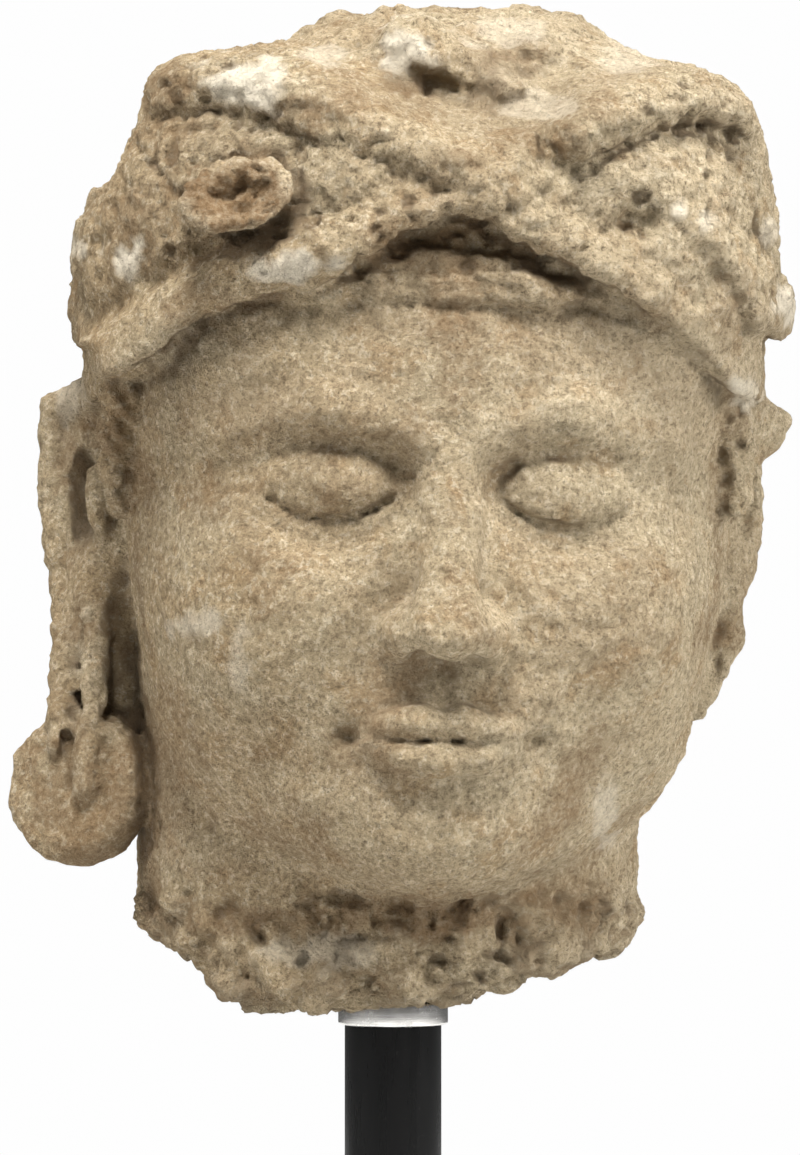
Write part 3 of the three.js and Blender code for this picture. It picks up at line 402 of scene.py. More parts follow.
def left_ear(d, x, y, z):
    u, v = ear_plane(x + 70, y - 4, -1)
    w = z - EAR_LEVEL
    ear = ellipsoid(u - 9, v, w, 15, 5.5, 28)
    ear = join(ear, chain(u, v, w, RIM, 4.2, 3.4, 1.5), 1.5)
    ear = carve(ear, ellipsoid(u - 10, v - 7, w - 2, 5.4, 11.5, 15), 2)
    ear = carve(ear, taper(u, v, w, (13, 6.5, 24), (16, 6.5, 8), 2.4, 1.8), 1.2)
    ear = carve(ear, taper(u, v, w, (16.5, 6, 8), (15, 6, -16), 1.6, 1.3), 1)
    ear = join(ear, ellipsoid(u - 3, v - 4.5, w - 2, 4, 4.5, 11), 2)
    ear = join(ear, ellipsoid(u - 11, v, w + 22, 10, 4.5, 11), 3)
    # The stretched lobe comes down and forward in two strands
    ear = join(ear, chain(x, y, z, OUTER_STRAND, 4, 3.4, 2), 2)
    ear = join(ear, chain(x, y, z, INNER_STRAND, 4.8, 3, 2) - 0.5 * lumps(x, y, z, 7), 4)
    d = join(d, ear - 0.6 * lumps(x, y, z, 10), 3)
    # The hollow between the lobe and the jaw has a floor further back
    d = join(d, boxy(x + 71, y - 14, z - 88, 14, 13, 34, 3, 3), 3)
    return carve(d, chain(x, y, z, STRAND_SLIT, 2, 2.4, 1), 0.8)


def earring(d, x, y, z):
    """A thick disc that hangs from the stretched lobe."""
    px, py, pz = x + 80.6, y + 6, z - 54.5
    along = -0.5 * px - 0.85 * py + 0.15 * pz
    across = np.sqrt(np.maximum(px * px + py * py + pz * pz - along * along, 0))
    edge_off = across - 19.8 - 0.4 * lumps(x, y, z, 16)
    disc = common(edge_off, np.abs(along) - 6.5 - 0.3 * lumps(x, y, z, 9), 4.5)
    d = join(d, disc, 1.2)
    d = join(d, chain(x, y, z, INNER_STRAND[2:], 3.8, 3, 1), 3)
    return carve(d, taper(x, y, z, (-84.6, -10, 68), (-83.6, -12.3, 56.5), 1.8, 2.7), 1)


def right_ear(d, x, y, z):
    """An ear whose lobe has broken off."""
    u, v = ear_plane(x - 84, y - 4, 1)
    w = z - EAR_LEVEL
    ear = ellipsoid(u - 3, v, w, 12, 5.5, 26)
    ear = join(ear, ellipsoid(u - 10, v - 0.5, w - 20.5, 13, 5.5, 9), 2)
    ear = join(ear, taper(u, v, w, (9, 0, 21), (22.2, 0, 23.4), 6.5, 2.8), 2)
    ear = common(ear, w - 28.5 + 0.03 * np.maximum(u - 12, 0) ** 2, 1)
    ear = carve(ear, ellipsoid(u - 6, v - 7, w - 1, 3.6, 5.5, 12), 2.5)
    ear = join(ear, chain(u, v, w, BROKEN_LOBE, 6.5, 4.5, 2), 3)
    ear = carve(ear, ellipsoid(u + 5, v - 8, w + 40, 3, 5, 6), 2)
    return join(d, ear, 3)


# Curls in front of the ears, left then right: x, y, z and radius
LOCKS = (
    (-69.5, -35, 157, 8), (-70.5, -30, 147, 7.5), (-70.5, -27, 137.5, 6.5), (-69.5, -25, 129.5, 5.5),
    (87.5, -35, 160, 7.5), (88, -31, 149.5, 7.5), (88.5, -30, 139.5, 7), (87.5, -30, 130.5, 6.5),
)


def locks(d, x, y, z):
    for cx, cy, cz, r in LOCKS:
        d = join(d, ellipsoid(x - cx, y - cy, z - cz, r * 0.9, r, r) - 1.2 * lumps(x, y, z, 7), 1.8)
    return d


# The lower edge of the neck, as x and z
NECK_EDGE = ((-66, 19), (-50, 10), (-43, 1), (-32, -2.6), (-14, -1.3), (15, 0), (43, 9), (53, 12), (60, 14),
             (63, 18))


def neck(x, y, z):
    """A thick neck, broken off unevenly."""
    column = boxy(x + 1.5, y - 11, z - 45, 64.5, 55, 400, 2.6, 2.6)
    column = column - 2 * lumps(x, y, z, 22) * smooth(34, 24, z)
    bottom = edge(NECK_EDGE, x) + 0.08 * np.maximum(y, 0) + 1.8 * lumps(x, y, z, 15)
    return common(common(column, bottom - z, 4), z - 90, 10)


def laid_out(points):
    """Points as they look from the front: x and z spread out with nearness to the eye."""
    spread = EYE_DISTANCE / (EYE_DISTANCE + points[:, 1])
    return points[:, 0] * spread, points[:, 1], EYE_HEIGHT + (points[:, 2] - EYE_HEIGHT) * spread


# Where each group of forms can be, in millimetres
FACE_FRONT = 30
NECK_TOP = 110
TURBAN_LOW = 145
EAR_TOP = 170
LEFT_EAR_SIDE, RIGHT_EAR_SIDE, LOCK_SIDE = -40, 60, 45
LOCKS_LOW, LOCKS_HIGH = 110, 180


def within(d, zone, form, x, y, z):
    """Adds a form to the distances in one zone of the head only."""
    if zone.any():
        d[zone] = form(d[zone], x[zone], y[zone], z[zone])
    return d


def stucco(points):
    """Distance from the head's surface, below 0 inside, for points in millimetres from the collar's top."""
    x, y, z = laid_out(points)
    # The skull, the jaw and nape under it, and the face in front
    d = ellipsoid(x - FACE_MIDDLE, y - 2, z - 156, 76, 82, 84)
    d = join(d, ellipsoid(x - 5, y - 14, z - 84, 69, 58, 62), 24)
    u, v, w = face_frame(x, y, z)
    d = join(d, face_mass(u, v, w), 12)
    d = within(d, v > FACE_FRONT, face_features, x, y, z)
    d = within(d, z < NECK_TOP, lambda d, x, y, z: join(d, neck(x, y, z), 4), x, y, z)
    d = within(d, z > TURBAN_LOW, headdress, x, y, z)
    for form in (left_ear, earring):
        d = within(d, (x < LEFT_EAR_SIDE) & (z < EAR_TOP), form, x, y, z)
    d = within(d, (x > RIGHT_EAR_SIDE) & (z < EAR_TOP), right_ear, x, y, z)
    d = within(d, (np.abs(x) > LOCK_SIDE) & (z > LOCKS_LOW) & (z < LOCKS_HIGH), locks, x, y, z)
    # The flat seat for the collar and the socket for the post
    out = reach(points[:, 0], points[:, 1])
    seat = (COLLAR_HIGH[0] - COLLAR_LOW[0]) * 500 + 1.5
    socket = (POST_HIGH[0] - POST_LOW[0]) * 500 + 2 * GAP
    deep = POST_HIGH[2] * 1000 - SEAT + 2 * GAP
    d = np.maximum(d, -np.maximum(out - seat, points[:, 2]))
    return np.maximum(d, -np.maximum(out - socket, points[:, 2] - deep))


def in_batches(field, points, size=150000):
    return np.concatenate([field(points[i : i + size]) for i in range(0, len(points), size)])


# The edges of a cell, as pairs of its corners; corner 5 is the one over by 1 along x and z
CELL_EDGES = [(corner, corner + step) for step in (1, 2, 4) for corner in range(8) if not corner & step]


def sample_near(field, low, high, cell, block=4):
    """Field values on a grid; away from the surface only their signs are kept."""
    blocks = np.ceil((high - low) / (cell * block)).astype(int)
    centres = np.stack(np.meshgrid(*[np.arange(b) for b in blocks], indexing="ij"), -1).reshape(-1, 3)
    middle = in_batches(field, low + (centres + 0.5) * block * cell).reshape(blocks)
    for axis in range(3):
        middle = middle.repeat(block, axis)
    # A little over a block's width, because distances are rough away from the surface
    near = np.abs(middle) < 1.3 * cell * block
    value = np.pad(np.sign(middle), ((0, 1),) * 3, mode="edge")
    wanted = np.zeros(value.shape, bool)
    for shift in np.ndindex(2, 2, 2):
        part = tuple(slice(s, s + n) for s, n in zip(shift, near.shape))
        wanted[part] |= near
    places = np.argwhere(wanted)
    value[wanted] = in_batches(field, low + places * cell)
    return value


def grid_part(parts):
    """The slice for {axis: over}: all but the last along an axis, or all but the first if over."""
    cut = [slice(None)] * 3
    for axis, over in parts.items():
        cut[axis] = slice(1, None) if over else slice(None, -1)
    return tuple(cut)


def untangle(value, cell):
    """Takes a third corner inside where only two opposite ones are, so that no edge gets four faces."""
    changed = True
    while changed:
        changed = False
        for a, b in ((0, 1), (1, 2), (0, 2)):
            v00, v10, v01, v11 = (value[grid_part({a: i, b: j})] for i, j in ((0, 0), (1, 0), (0, 1), (1, 1)))
            in00, in10, in01, in11 = (v < 0 for v in (v00, v10, v01, v11))
            crossed = (in00 == in11) & (in10 == in01) & (in00 != in10)
            if crossed.any():
                changed = True
                first = np.where(in00, v10 <= v01, v00 <= v11) & crossed
                other = crossed & ~first
                v10[first & in00] = v01[other & in00] = -0.1 * cell
                v00[first & ~in00] = v11[other & ~in00] = -0.1 * cell
    return value


def crossing_points(value, low, cell):
    """One point in each cell that the surface crosses, and a grid of the points' numbers."""
    inside = value < 0
    size = np.array(value.shape) - 1
    corner = []
    for c in range(8):
        corner.append(tuple(slice((c >> axis) & 1, size[axis] + ((c >> axis) & 1)) for axis in range(3)))
    count = sum(inside[c].astype(np.int8) for c in corner)
    crossed = (count > 0) & (count < 8)
    at = np.argwhere(crossed)
    total = np.zeros((len(at), 3))
    hits = np.zeros(len(at))
    for a, b in CELL_EDGES:
        va, vb = value[corner[a]][crossed], value[corner[b]][crossed]
        cut = (va < 0) != (vb < 0)
        t = np.where(cut, va / np.where(cut, va - vb, 1), 0)
        for axis in range(3):
            start = (a >> axis) & 1
            total[:, axis] += np.where(cut, start + t * (((b >> axis) & 1) - start), 0)
        hits += cut
    number = np.full(crossed.shape, -1, dtype=np.int64)
    number[crossed] = np.arange(len(at))
    return low + (at + total / hits[:, None]) * cell, number


def crossing_faces(value, number):
    """A four-sided face round each grid edge that the surface crosses, turned outwards."""
    inside = value < 0
    size = np.array(value.shape) - 1
    faces = []
    for axis, (s, t) in enumerate(((1, 2), (2, 0), (0, 1))):
        start = np.argwhere(inside[grid_part({axis: 0})] != inside[grid_part({axis: 1})])
        across, along = start[:, s], start[:, t]
        start = start[(across > 0) & (along > 0) & (across < size[s]) & (along < size[t])]
        ring = []
        for ds, dt in ((1, 1), (0, 1), (0, 0), (1, 0)):
            cell_at = start.copy()
            cell_at[:, s] -= ds
            cell_at[:, t] -= dt
            ring.append(number[tuple(cell_at.T)])
        quads = np.stack(ring, 1)
        outward = inside[tuple(start.T)]
        faces.append(np.where(outward[:, None], quads, quads[:, ::-1]))
    return np.concatenate(faces)


def skin(field, low, high, cell):
    """Points and four-sided faces of the surface where the field is 0."""
    value = untangle(sample_near(field, low, high, cell), cell)
    points, number = crossing_points(value, low, cell)
    return points, crossing_faces(value, number)


def new_mesh(name, points, faces):
    mesh = bpy.data.meshes.new(name)
    mesh.from_pydata(points.tolist(), [], faces.tolist())
    mesh.update()
    return mesh


def new_object(name, mesh):
    obj = bpy.data.objects.new(name, mesh)
    bpy.context.scene.collection.objects.link(obj)
    return obj


def vertex_values(mesh, name):
    values = np.empty(len(mesh.vertices) * 3)
    mesh.vertices.foreach_get(name, values)
    return values.reshape(-1, 3)


def store(mesh, name, values):
    attribute = mesh.attributes.new(name, "FLOAT", "POINT")
    attribute.data.foreach_set("value", np.ascontiguousarray(values, dtype=np.float32))


# Relief too fine for the solid: the smoother channel beside the crest, and the widths of lumps
CHANNEL = ((-16, 239), (2, 230), (20, 224), (34, 228), (50, 236), (64, 242))
COARSE_LUMP = 9
MIDDLE_LUMP = 4.2
CRUMB = 2.1


def face_area(points):
    """1 on the face, 0 away from it."""
    u, v, w = face_frame(*laid_out(points))
    return smooth(28, 40, v) * smooth(76, 64, np.abs(u)) * smooth(64, 52, w) * smooth(-112, -98, w)


def broken_share(points):
    """1 on the rough broken end of the neck, 0 away from it."""
    x, y, z = laid_out(points)
    return smooth(34, 22, z - 0.08 * np.maximum(y, 0)) * smooth(-64, -52, y)


def roughness_of(points):
    """How coarse the surface is: the turban is crumbly and the broken neck coarsest."""
    x, y, z = laid_out(points)
    rough = 0.75 + 0.75 * smooth(172, 186, z)
    rough = rough * (1 - 0.1 * face_area(points))
    rough = rough + 1.6 * broken_share(points)
    return rough * (1 - 0.6 * dip(from_line(CHANNEL, x, z), 8) * smooth(-10, -40, y))


# Limewash that is left: x, z, half width, half height in millimetres and how much
LIME = (
    (-37, 236.7, 14, 6.5, 1), (4.4, 245.8, 6, 7, 1), (-18, 244, 7, 3, 0.5), (-28.7, 188.9, 12, 4, 0.9),
    (74.2, 203.9, 3.5, 3, 0.8), (82, 201.3, 3, 2.6, 0.7), (-69.3, 190.9, 6, 6, 0.9), (-81.5, 194, 3, 3, 0.7),
    (101.5, 179.8, 3, 5, 0.9), (91.3, 156.5, 4, 4, 0.8), (97, 198.7, 3, 3, 0.6), (54.8, 47.9, 4, 9, 0.5),
    (60, 243, 9, 4, 0.4), (30, 250, 12, 4, 0.4), (38, 231, 10, 4, 0.35), (-84, 156, 4, 8, 0.4),
    (-20, 12, 14, 5, 0.4), (-52, 96.5, 8, 3.5, 0.5), (-39.5, 87, 3, 8, 0.4),
)
# Stains, in the same way, and painted shadow under the chin and jaw
STAINS_AND_JAW_SHADOW = (
    (-40, 208, 14, 9, 1.2), (-58, 236, 8, 5, 0.8), (-22, 230, 12, 5, 0.7), (-24, 191, 8, 5, 0.6),
    (-4, 196, 5, 6, 0.6), (6, 233, 8, 5, 0.5), (-72, 148, 5, 10, 0.7), (-66, 135, 4, 8, 0.6),
    (-84, 140, 5, 14, 0.5), (48, 222, 6, 5, 0.6), (87, 150, 5, 10, 0.5), (-80, 50, 18, 18, 0.7),
    # The last three entries are painted shadow under the chin and jaw
    (-72, 205, 8, 10, 0.4), (-60, 60, 10, 22, 0.4), (-30, 20, 24, 5, 0.7), (10, 21, 30, 5, 0.8),
    (44, 25, 14, 6, 0.7),
)


def relief(points):
    """How far the surface stands out from the carved form, in millimetres."""
    rough = roughness_of(points)
    height = 0.5 * crumble(points, COARSE_LUMP, 11) * (0.3 + 0.7 * rough)
    crumbs = 0.6 * crumble(points, MIDDLE_LUMP, 12) + 0.85 * crumble(points, CRUMB, 13)
    height += (0.3 + 0.5 * rough) * crumbs
    # Ragged pits, thick in some places and few in others
    crowding = 0.25 * crumble(points, 24, 14)
    bent = points + 1.3 * np.stack([crumble(points, 3, seed) for seed in (18, 19, 20)], 1)
    pitted = rough * (1 - 0.6 * face_area(points))
    height -= pitted * 1.1 * smooth(0.42, 0.8, crumble(bent, 4.6, 15) + crowding)
    height -= pitted * 0.6 * smooth(0.4, 0.8, crumble(bent, 2.6, 16) + crowding)
    # The broken neck is chunky
    height += broken_share(points) * (1.8 * crumble(points, 7, 17) + 1.1 * crumble(points, 3.4, 21))
    # The seat and socket stay true
    return height * smooth(16, 20, reach(points[:, 0], points[:, 1]))


# How far the earth and painted shade look for hollows and creases, and the wear for edges, in millimetres
NEAR, WIDE, CREASE, EDGE = 6, 14, 2.2, 4


def hollow_share(points, normals, reach_out):
    """How much the head closes in over each point, from 0 in the open to 1 in a deep hollow."""
    open_air = in_batches(stucco, points + normals * reach_out)
    return np.clip(1 - open_air / reach_out, 0, 1)


def edge_share(points, normals, reach_in):
    """How much each point stands on an edge or a ridge, from 0 to 1."""
    inside = in_batches(stucco, points - normals * reach_in)
    return np.clip(1 + inside / reach_in, 0, 1)


def patches(points, normals, places, seed):
    """How much of a ragged patch covers each point of the front."""
    x, y, z = laid_out(points)
    share = np.zeros(len(points))
    ragged = 0.5 * crumble(points, 6, seed) + 0.35 * crumble(points, 2.4, seed + 1)
    for px, pz, wide, high, much in places:
        inside = 1 - reach((x - px) / wide, (z - pz) / high)
        share = np.maximum(share, much * smooth(-0.1, 0.3, inside + ragged))
    return share * smooth(0, 0.25, -normals[:, 1])


def stain_and_jaw_shadow_share(points, normals):
    """Red-brown stains, in places and here and there, and painted shadow under the jaw."""
    scattered = 0.6 * smooth(0.3, 0.7, crumble(points, 16, 35) + 0.4 * crumble(points, 5, 36))
    return np.maximum(patches(points, normals, STAINS_AND_JAW_SHADOW, 33), scattered)


# Node materials
class Finish:
    """A material made of nodes, with short ways to add the usual ones."""

    def __init__(self, name):
        self.material = bpy.data.materials.new(name)
        self.material.use_nodes = True
        tree = self.material.node_tree
        self.nodes, self.links = tree.nodes, tree.links
        self.shader = self.nodes["Principled BSDF"]
        self.place = self.nodes.new("ShaderNodeTexCoord").outputs["Object"]

    def put(self, socket, value):
        if isinstance(value, bpy.types.NodeSocket):
            self.links.new(value, socket)
        else:
            socket.default_value = value

    def add(self, kind, inputs, output=0, **settings):
        node = self.nodes.new("ShaderNode" + kind)
        for name, value in settings.items():
            setattr(node, name, value)
        for key, value in inputs.items():
            self.put(node.inputs[key], value)
        return node.outputs[output]

    def math(self, operation, a, b=0.0, clamp=False):
        return self.add("Math", {0: a, 1: b}, operation=operation, use_clamp=clamp)

    def scaled(self, value, low, high, to_low=0.0, to_high=1.0):
        inputs = {"Value": value, "From Min": low, "From Max": high, "To Min": to_low, "To Max": to_high}
        return self.add("MapRange", inputs, interpolation_type="SMOOTHSTEP")

    def noise(self, size, detail=3.0, rough=0.5, twist=0.0, stretch=None):
        """Cloudy values from 0 to 1, with clouds of about the given size in metres."""
        place = self.place
        if stretch:
            place = self.add("Mapping", {"Vector": place, "Scale": stretch})
        inputs = {"Vector": place, "Scale": 1 / size, "Detail": detail, "Roughness": rough}
        inputs["Distortion"] = twist
        return self.add("TexNoise", inputs)

    def stored(self, name):
        return self.add("Attribute", {}, "Fac", attribute_name=name)

    def blend(self, share, first, second):
        return self.add("Mix", {0: share, 6: first, 7: second}, 2, data_type="RGBA")

    def bump(self, height, depth, strength=1.0, under=None):
        inputs = {"Height": height, "Distance": depth, "Strength": strength}
        if under is not None:
            inputs["Normal"] = under
        return self.add("Bump", inputs)

    def end(self, **inputs):
        for name, value in inputs.items():
            self.put(self.shader.inputs[name.replace("_", " ")], value)
        return self.material


def rgba(colour, lightness=1.0):
    return (colour[0] * lightness, colour[1] * lightness, colour[2] * lightness, 1.0)


# Widths and depths of the stucco's grain in metres
GRAIN, SAND = 0.0019, 0.0011
LUMP_DEPTH, GRAIN_DEPTH, SAND_DEPTH = 0.002, 0.0048, 0.0026
# The faint shine of the stucco and the paint
DULL = 0.2


def bare_stucco(f, sizes, blotches, grain):
    """The stucco's colour: browner and darker on the left, with greyed clouds, ochre blotches and pale
    crumbs, which are partly a painted highlight on the raised grain.
    """
    # Browner and darker towards the left
    side = f.scaled(f.add("SeparateXYZ", {0: f.place}, "X"), -0.09, 0.07)
    body = f.blend(side, rgba(sizes.brown_side), rgba(sizes.body_colour))
    body = f.blend(f.scaled(f.noise(0.03, 4, 0.6), 0.38, 0.66, 0, 0.6), body, rgba(sizes.olive_side))
    body = f.blend(f.scaled(blotches, 0.5, 0.66, 0, 0.6), body, rgba(sizes.ochre_colour))
    # Pale crumbs where the grain stands up, partly a painted highlight on its tops
    body = f.blend(f.scaled(grain, 0.51, 0.62, 0, 0.85), body, rgba(sizes.crumb_and_highlight_colour))
    # A warm brown cast that comes and goes over a few centimetres
    cast = f.noise(0.045, 4, 0.6, 0.3)
    body = f.blend(f.scaled(cast, 0.44, 0.66, 0, 0.35), body, rgba(sizes.stain_and_shadow_colour))
    rubbed = f.math("MULTIPLY", f.stored("ridge"), f.scaled(blotches, 0.3, 0.6, 0, 0.5))
    return f.blend(rubbed, body, rgba(sizes.crumb_and_highlight_colour))


def earth_and_painted_shade_share(f, rough, blotches, grain, sand):
    """How much dark brown goes on: earth and painted shade in hollows, creases and the grain's pits, and
    earth in blotches where it is broken.
    """
    # Earth and painted shade: darker the more the head closes in over a point, and in its creases
    hollow = f.math("ADD", f.stored("hollow"), f.scaled(blotches, 0.3, 0.7, -0.15, 0.15))
    earth_and_shade = f.scaled(hollow, 0.34, 0.9, 0, 0.7)
    earth_and_shade = f.math("MAXIMUM", earth_and_shade, f.scaled(f.stored("crease"), 0.4, 0.95, 0, 0.6))
    # Earth in pores, and painted shade in the pits of the bumped grain and sand
    pore_earth_and_pit_shade = f.math("MULTIPLY", f.scaled(grain, 0.5, 0.34), f.scaled(rough, 0.4, 1.4, 0.65, 0.75))
    speck_earth_and_pit_shade = f.math("MULTIPLY", f.scaled(sand, 0.5, 0.32), 0.6)
    earth_and_shade = f.math("MAXIMUM", earth_and_shade, f.math("MAXIMUM", pore_earth_and_pit_shade, speck_earth_and_pit_shade), clamp=True)
    broken = f.math("MULTIPLY", f.scaled(rough, 1.2, 2.2, 0, 0.4), f.scaled(blotches, 0.42, 0.58))
    return f.math("MAXIMUM", earth_and_shade, broken)


def sandy_normal(f, rough, blotches, grain, sand):
    lumpy = f.bump(blotches, LUMP_DEPTH, 0.6)
    grainy = f.bump(grain, GRAIN_DEPTH, f.scaled(rough, 0.2, 1.5, 0.85, 1), lumpy)
    return f.bump(sand, SAND_DEPTH, 1.0, grainy)


def stucco_finish(sizes):
    f = Finish("Weathered stucco")
    rough = f.stored("coarse")
    blotches = f.noise(0.011, 5, 0.62, 0.4)
    grain = f.noise(GRAIN, 6, 0.78)
    sand = f.noise(SAND, 4, 0.75)
    body = bare_stucco(f, sizes, blotches, grain)
    # Earth and painted shade in hollows, creases and the grain's pits, in one dark brown
    body = f.blend(earth_and_painted_shade_share(f, rough, blotches, grain, sand), body, rgba(sizes.earth_and_shade_colour))
    # Red-brown stains, and the painted shadow under the jaw
    stain_and_shadow = f.math("MULTIPLY", f.stored("stain_and_jaw_shadow"), f.scaled(grain, 0.3, 0.62, 0.9, 0.5))
    body = f.blend(stain_and_shadow, body, rgba(sizes.stain_and_shadow_colour))
    limed = f.math("MULTIPLY", f.stored("lime"), f.scaled(grain, 0.28, 0.5, 0.3, 1), clamp=True)
    body = f.blend(limed, body, rgba(sizes.lime_colour))
    matt = f.scaled(grain, 0.2, 0.8, 0.97, 0.86)
    normal = sandy_normal(f, rough, blotches, grain, sand)
    return f.end(Base_Color=body, Roughness=matt, Normal=normal, Specular_IOR_Level=DULL)


def black_finish(name, colour, roughness):
    f = Finish(name)
    drift = f.noise(0.05, 3, 0.5)
    dust = f.noise(0.0012, 3, 0.7)
    streaks = f.noise(0.004, 4, 0.6, 0, (1, 1, 0.12))
    body = f.blend(f.scaled(drift, 0.3, 0.7, 0, 0.35), rgba(colour), rgba(colour, 1.7))
    body = f.blend(f.scaled(dust, 0.62, 0.74, 0, 0.06), body, rgba((0.2, 0.19, 0.18)))
    gloss = f.scaled(streaks, 0.3, 0.7, roughness * 0.85, roughness * 1.25)
    normal = f.bump(dust, 0.00005, 0.25)
    return f.end(Base_Color=body, Roughness=gloss, Normal=normal, Specular_IOR_Level=DULL)


def steel_finish(colour, roughness):
    f = Finish("Turned steel")
    rings = f.noise(0.0006, 3, 0.6, 0, (0.02, 0.02, 1))
    smudges = f.noise(0.006, 4, 0.6)
    body = f.blend(f.scaled(smudges, 0.35, 0.7, 0, 0.5), rgba(colour), rgba(colour, 0.72))
    gloss = f.scaled(smudges, 0.3, 0.7, roughness, roughness * 1.6)
    normal = f.bump(rings, 0.00004, 0.5)
    return f.end(Base_Color=body, Roughness=gloss, Metallic=1.0, Normal=normal)


def floor_finish(colour):
    f = Finish("Pale studio floor")
    body = f.blend(f.scaled(f.noise(0.4, 3), 0.3, 0.7), rgba(colour), rgba(colour, 0.97))
    return f.end(Base_Color=body, Roughness=0.9, Normal=f.bump(f.noise(0.002), 0.0001, 0.1))


def turned_mesh(name, profile, sides=160):
    """A solid turned from points (radius, height) in metres; radius 0 closes an end."""
    mesh = bmesh.new()
    rings = []
    for radius, height in profile:
        if radius == 0:
            rings.append([mesh.verts.new((0, 0, height))] * sides)
            continue
        angles = [2 * math.pi * i / sides for i in range(sides)]
        rings.append([mesh.verts.new((radius * math.cos(a), radius * math.sin(a), height)) for a in angles])
    closed = profile[0][0] != 0
    for lower, upper in zip(rings, rings[1:] + (rings[:1] if closed else [])):
        for i in range(sides):
            j = (i + 1) % sides
            corners = list(dict.fromkeys((lower[i], lower[j], upper[j], upper[i])))
            if len(corners) > 2:
                mesh.faces.new(corners)
    bmesh.ops.recalc_face_normals(mesh, faces=mesh.faces)
    data = bpy.data.meshes.new(name)
    mesh.to_mesh(data)
    mesh.free()
    return data


def rounded(radius, height, size, steps, start):
    """Points round a quarter circle whose centre is at that radius and height."""
    angles = [start + math.pi / 2 * i / steps for i in range(steps + 1)]
    return [(radius + size * math.cos(a), height + size * math.sin(a)) for a in angles]


def shade_smooth(obj, angle=math.radians(35)):
    obj.data.shade_smooth()
    obj.data.set_sharp_from_angle(angle=angle)


def colour_value(name, description, default):
    return FloatVectorProperty(
        name=name, description=description, default=default, subtype="COLOR", size=3, min=0, max=1,
    )


class StuccoSizes(PropertyGroup):
    fineness: FloatProperty(
        name="Fineness", description="Width of the grid that the head is carved on", default=0.0012,
        min=0.0008, max=0.004, precision=4, unit="LENGTH",
    )
    relief: FloatProperty(
        name="Relief", description="Strength of the crumbly relief and the pits", default=1.0, min=0, max=3,
    )
    most_faces: IntProperty(
        name="Most Triangles", description="Triangles left in the head's mesh", default=192000,
        min=20000, max=199000,
    )
    body_colour: colour_value("Stucco", "The clean stucco", (0.69, 0.55, 0.35))
    # Browner and darker, towards the left
    brown_side: colour_value("Browner Side", "Stucco stained by earth, on the left", (0.55, 0.4, 0.225))
    olive_side: colour_value("Greyed", "Greyish olive clouds in the stucco", (0.58, 0.475, 0.305))
    ochre_colour: colour_value("Ochre", "Ochre blotches", (0.5, 0.33, 0.165))
    # Also the colour of the painted highlight on the grain's tops
    crumb_and_highlight_colour: colour_value("Crumbs", "Pale rubbed crumbs and ridges", (0.86, 0.73, 0.52))
    # Also the colour of the painted shade in hollows, creases and the grain's pits
    earth_and_shade_colour: colour_value("Earth", "Brown earth left in hollows and pores", (0.15, 0.098, 0.055))
    # Also the colour of the painted shadow under the jaw
    stain_and_shadow_colour: colour_value("Stain", "Red-brown stains", (0.27, 0.165, 0.08))
    lime_colour: colour_value("Limewash", "White limewash", (0.97, 0.86, 0.67))


class MountSizes(PropertyGroup):
    edge: FloatProperty(
        name="Rounded Edge", description="Radius on the edges of the post and collar", default=0.0006,
        min=0.0002, max=0.002, precision=4, unit="LENGTH",
    )
    black: colour_value("Black", "Black paint of the post and foot", (0.002, 0.0019, 0.0018))
    post_roughness: FloatProperty(
        name="Post Roughness", description="Roughness of the post's paint", default=0.28, min=0.02, max=1,
    )
    foot_roughness: FloatProperty(
        name="Foot Roughness", description="Roughness of the foot's paint", default=0.42, min=0.02, max=1,
    )
    steel: colour_value("Steel", "Polished steel of the collar", (0.78, 0.76, 0.73))
    steel_roughness: FloatProperty(
        name="Steel Roughness", description="Roughness of the collar", default=0.18, min=0.02, max=1,
    )


class StageSizes(PropertyGroup):
    floor: colour_value("Floor", "Colour of the floor", (0.86, 0.86, 0.85))
    floor_radius: FloatProperty(
        name="Floor Radius", description="Radius of the round floor", default=0.72,
        min=0.3, max=5, unit="LENGTH",
    )
    fill: FloatProperty(name="Fill", description="Brightness of the surroundings", default=0.14, min=0, max=3)
    key: FloatProperty(name="Key", description="Power of the lamps", default=1.23, min=0, max=5)


def carved_mesh(sizes):
    """The head's mesh, in millimetres from the collar's top, with its relief."""
    cell = sizes.fineness * 1000 * 1
    margin = 6
    low = np.array(HEAD_LOW) * 1000 - (0, 0, SEAT) - margin
    high = np.array(HEAD_HIGH) * 1000 - (0, 0, SEAT) + margin
    points, faces = skin(stucco, low, high, cell)
    mesh = new_mesh("head_stucco", points, faces)
    normals = vertex_values(mesh, "normal")
    points = points + normals * (relief(points) * sizes.relief)[:, None]
    mesh.vertices.foreach_set("co", points.ravel())
    mesh.update()
    return mesh


def thin_out(obj, most, context):
    """Leaves about the given number of triangles in an object of four-sided faces."""
    mesh = obj.data
    share = most / (2 * len(mesh.polygons))
    if share < 1:
        reducer = obj.modifiers.new("Fewer faces", "DECIMATE")
        reducer.ratio = share
        reduced = bpy.data.meshes.new_from_object(obj.evaluated_get(context.evaluated_depsgraph_get()))
        obj.modifiers.clear()
        obj.data = reduced
        bpy.data.meshes.remove(mesh)


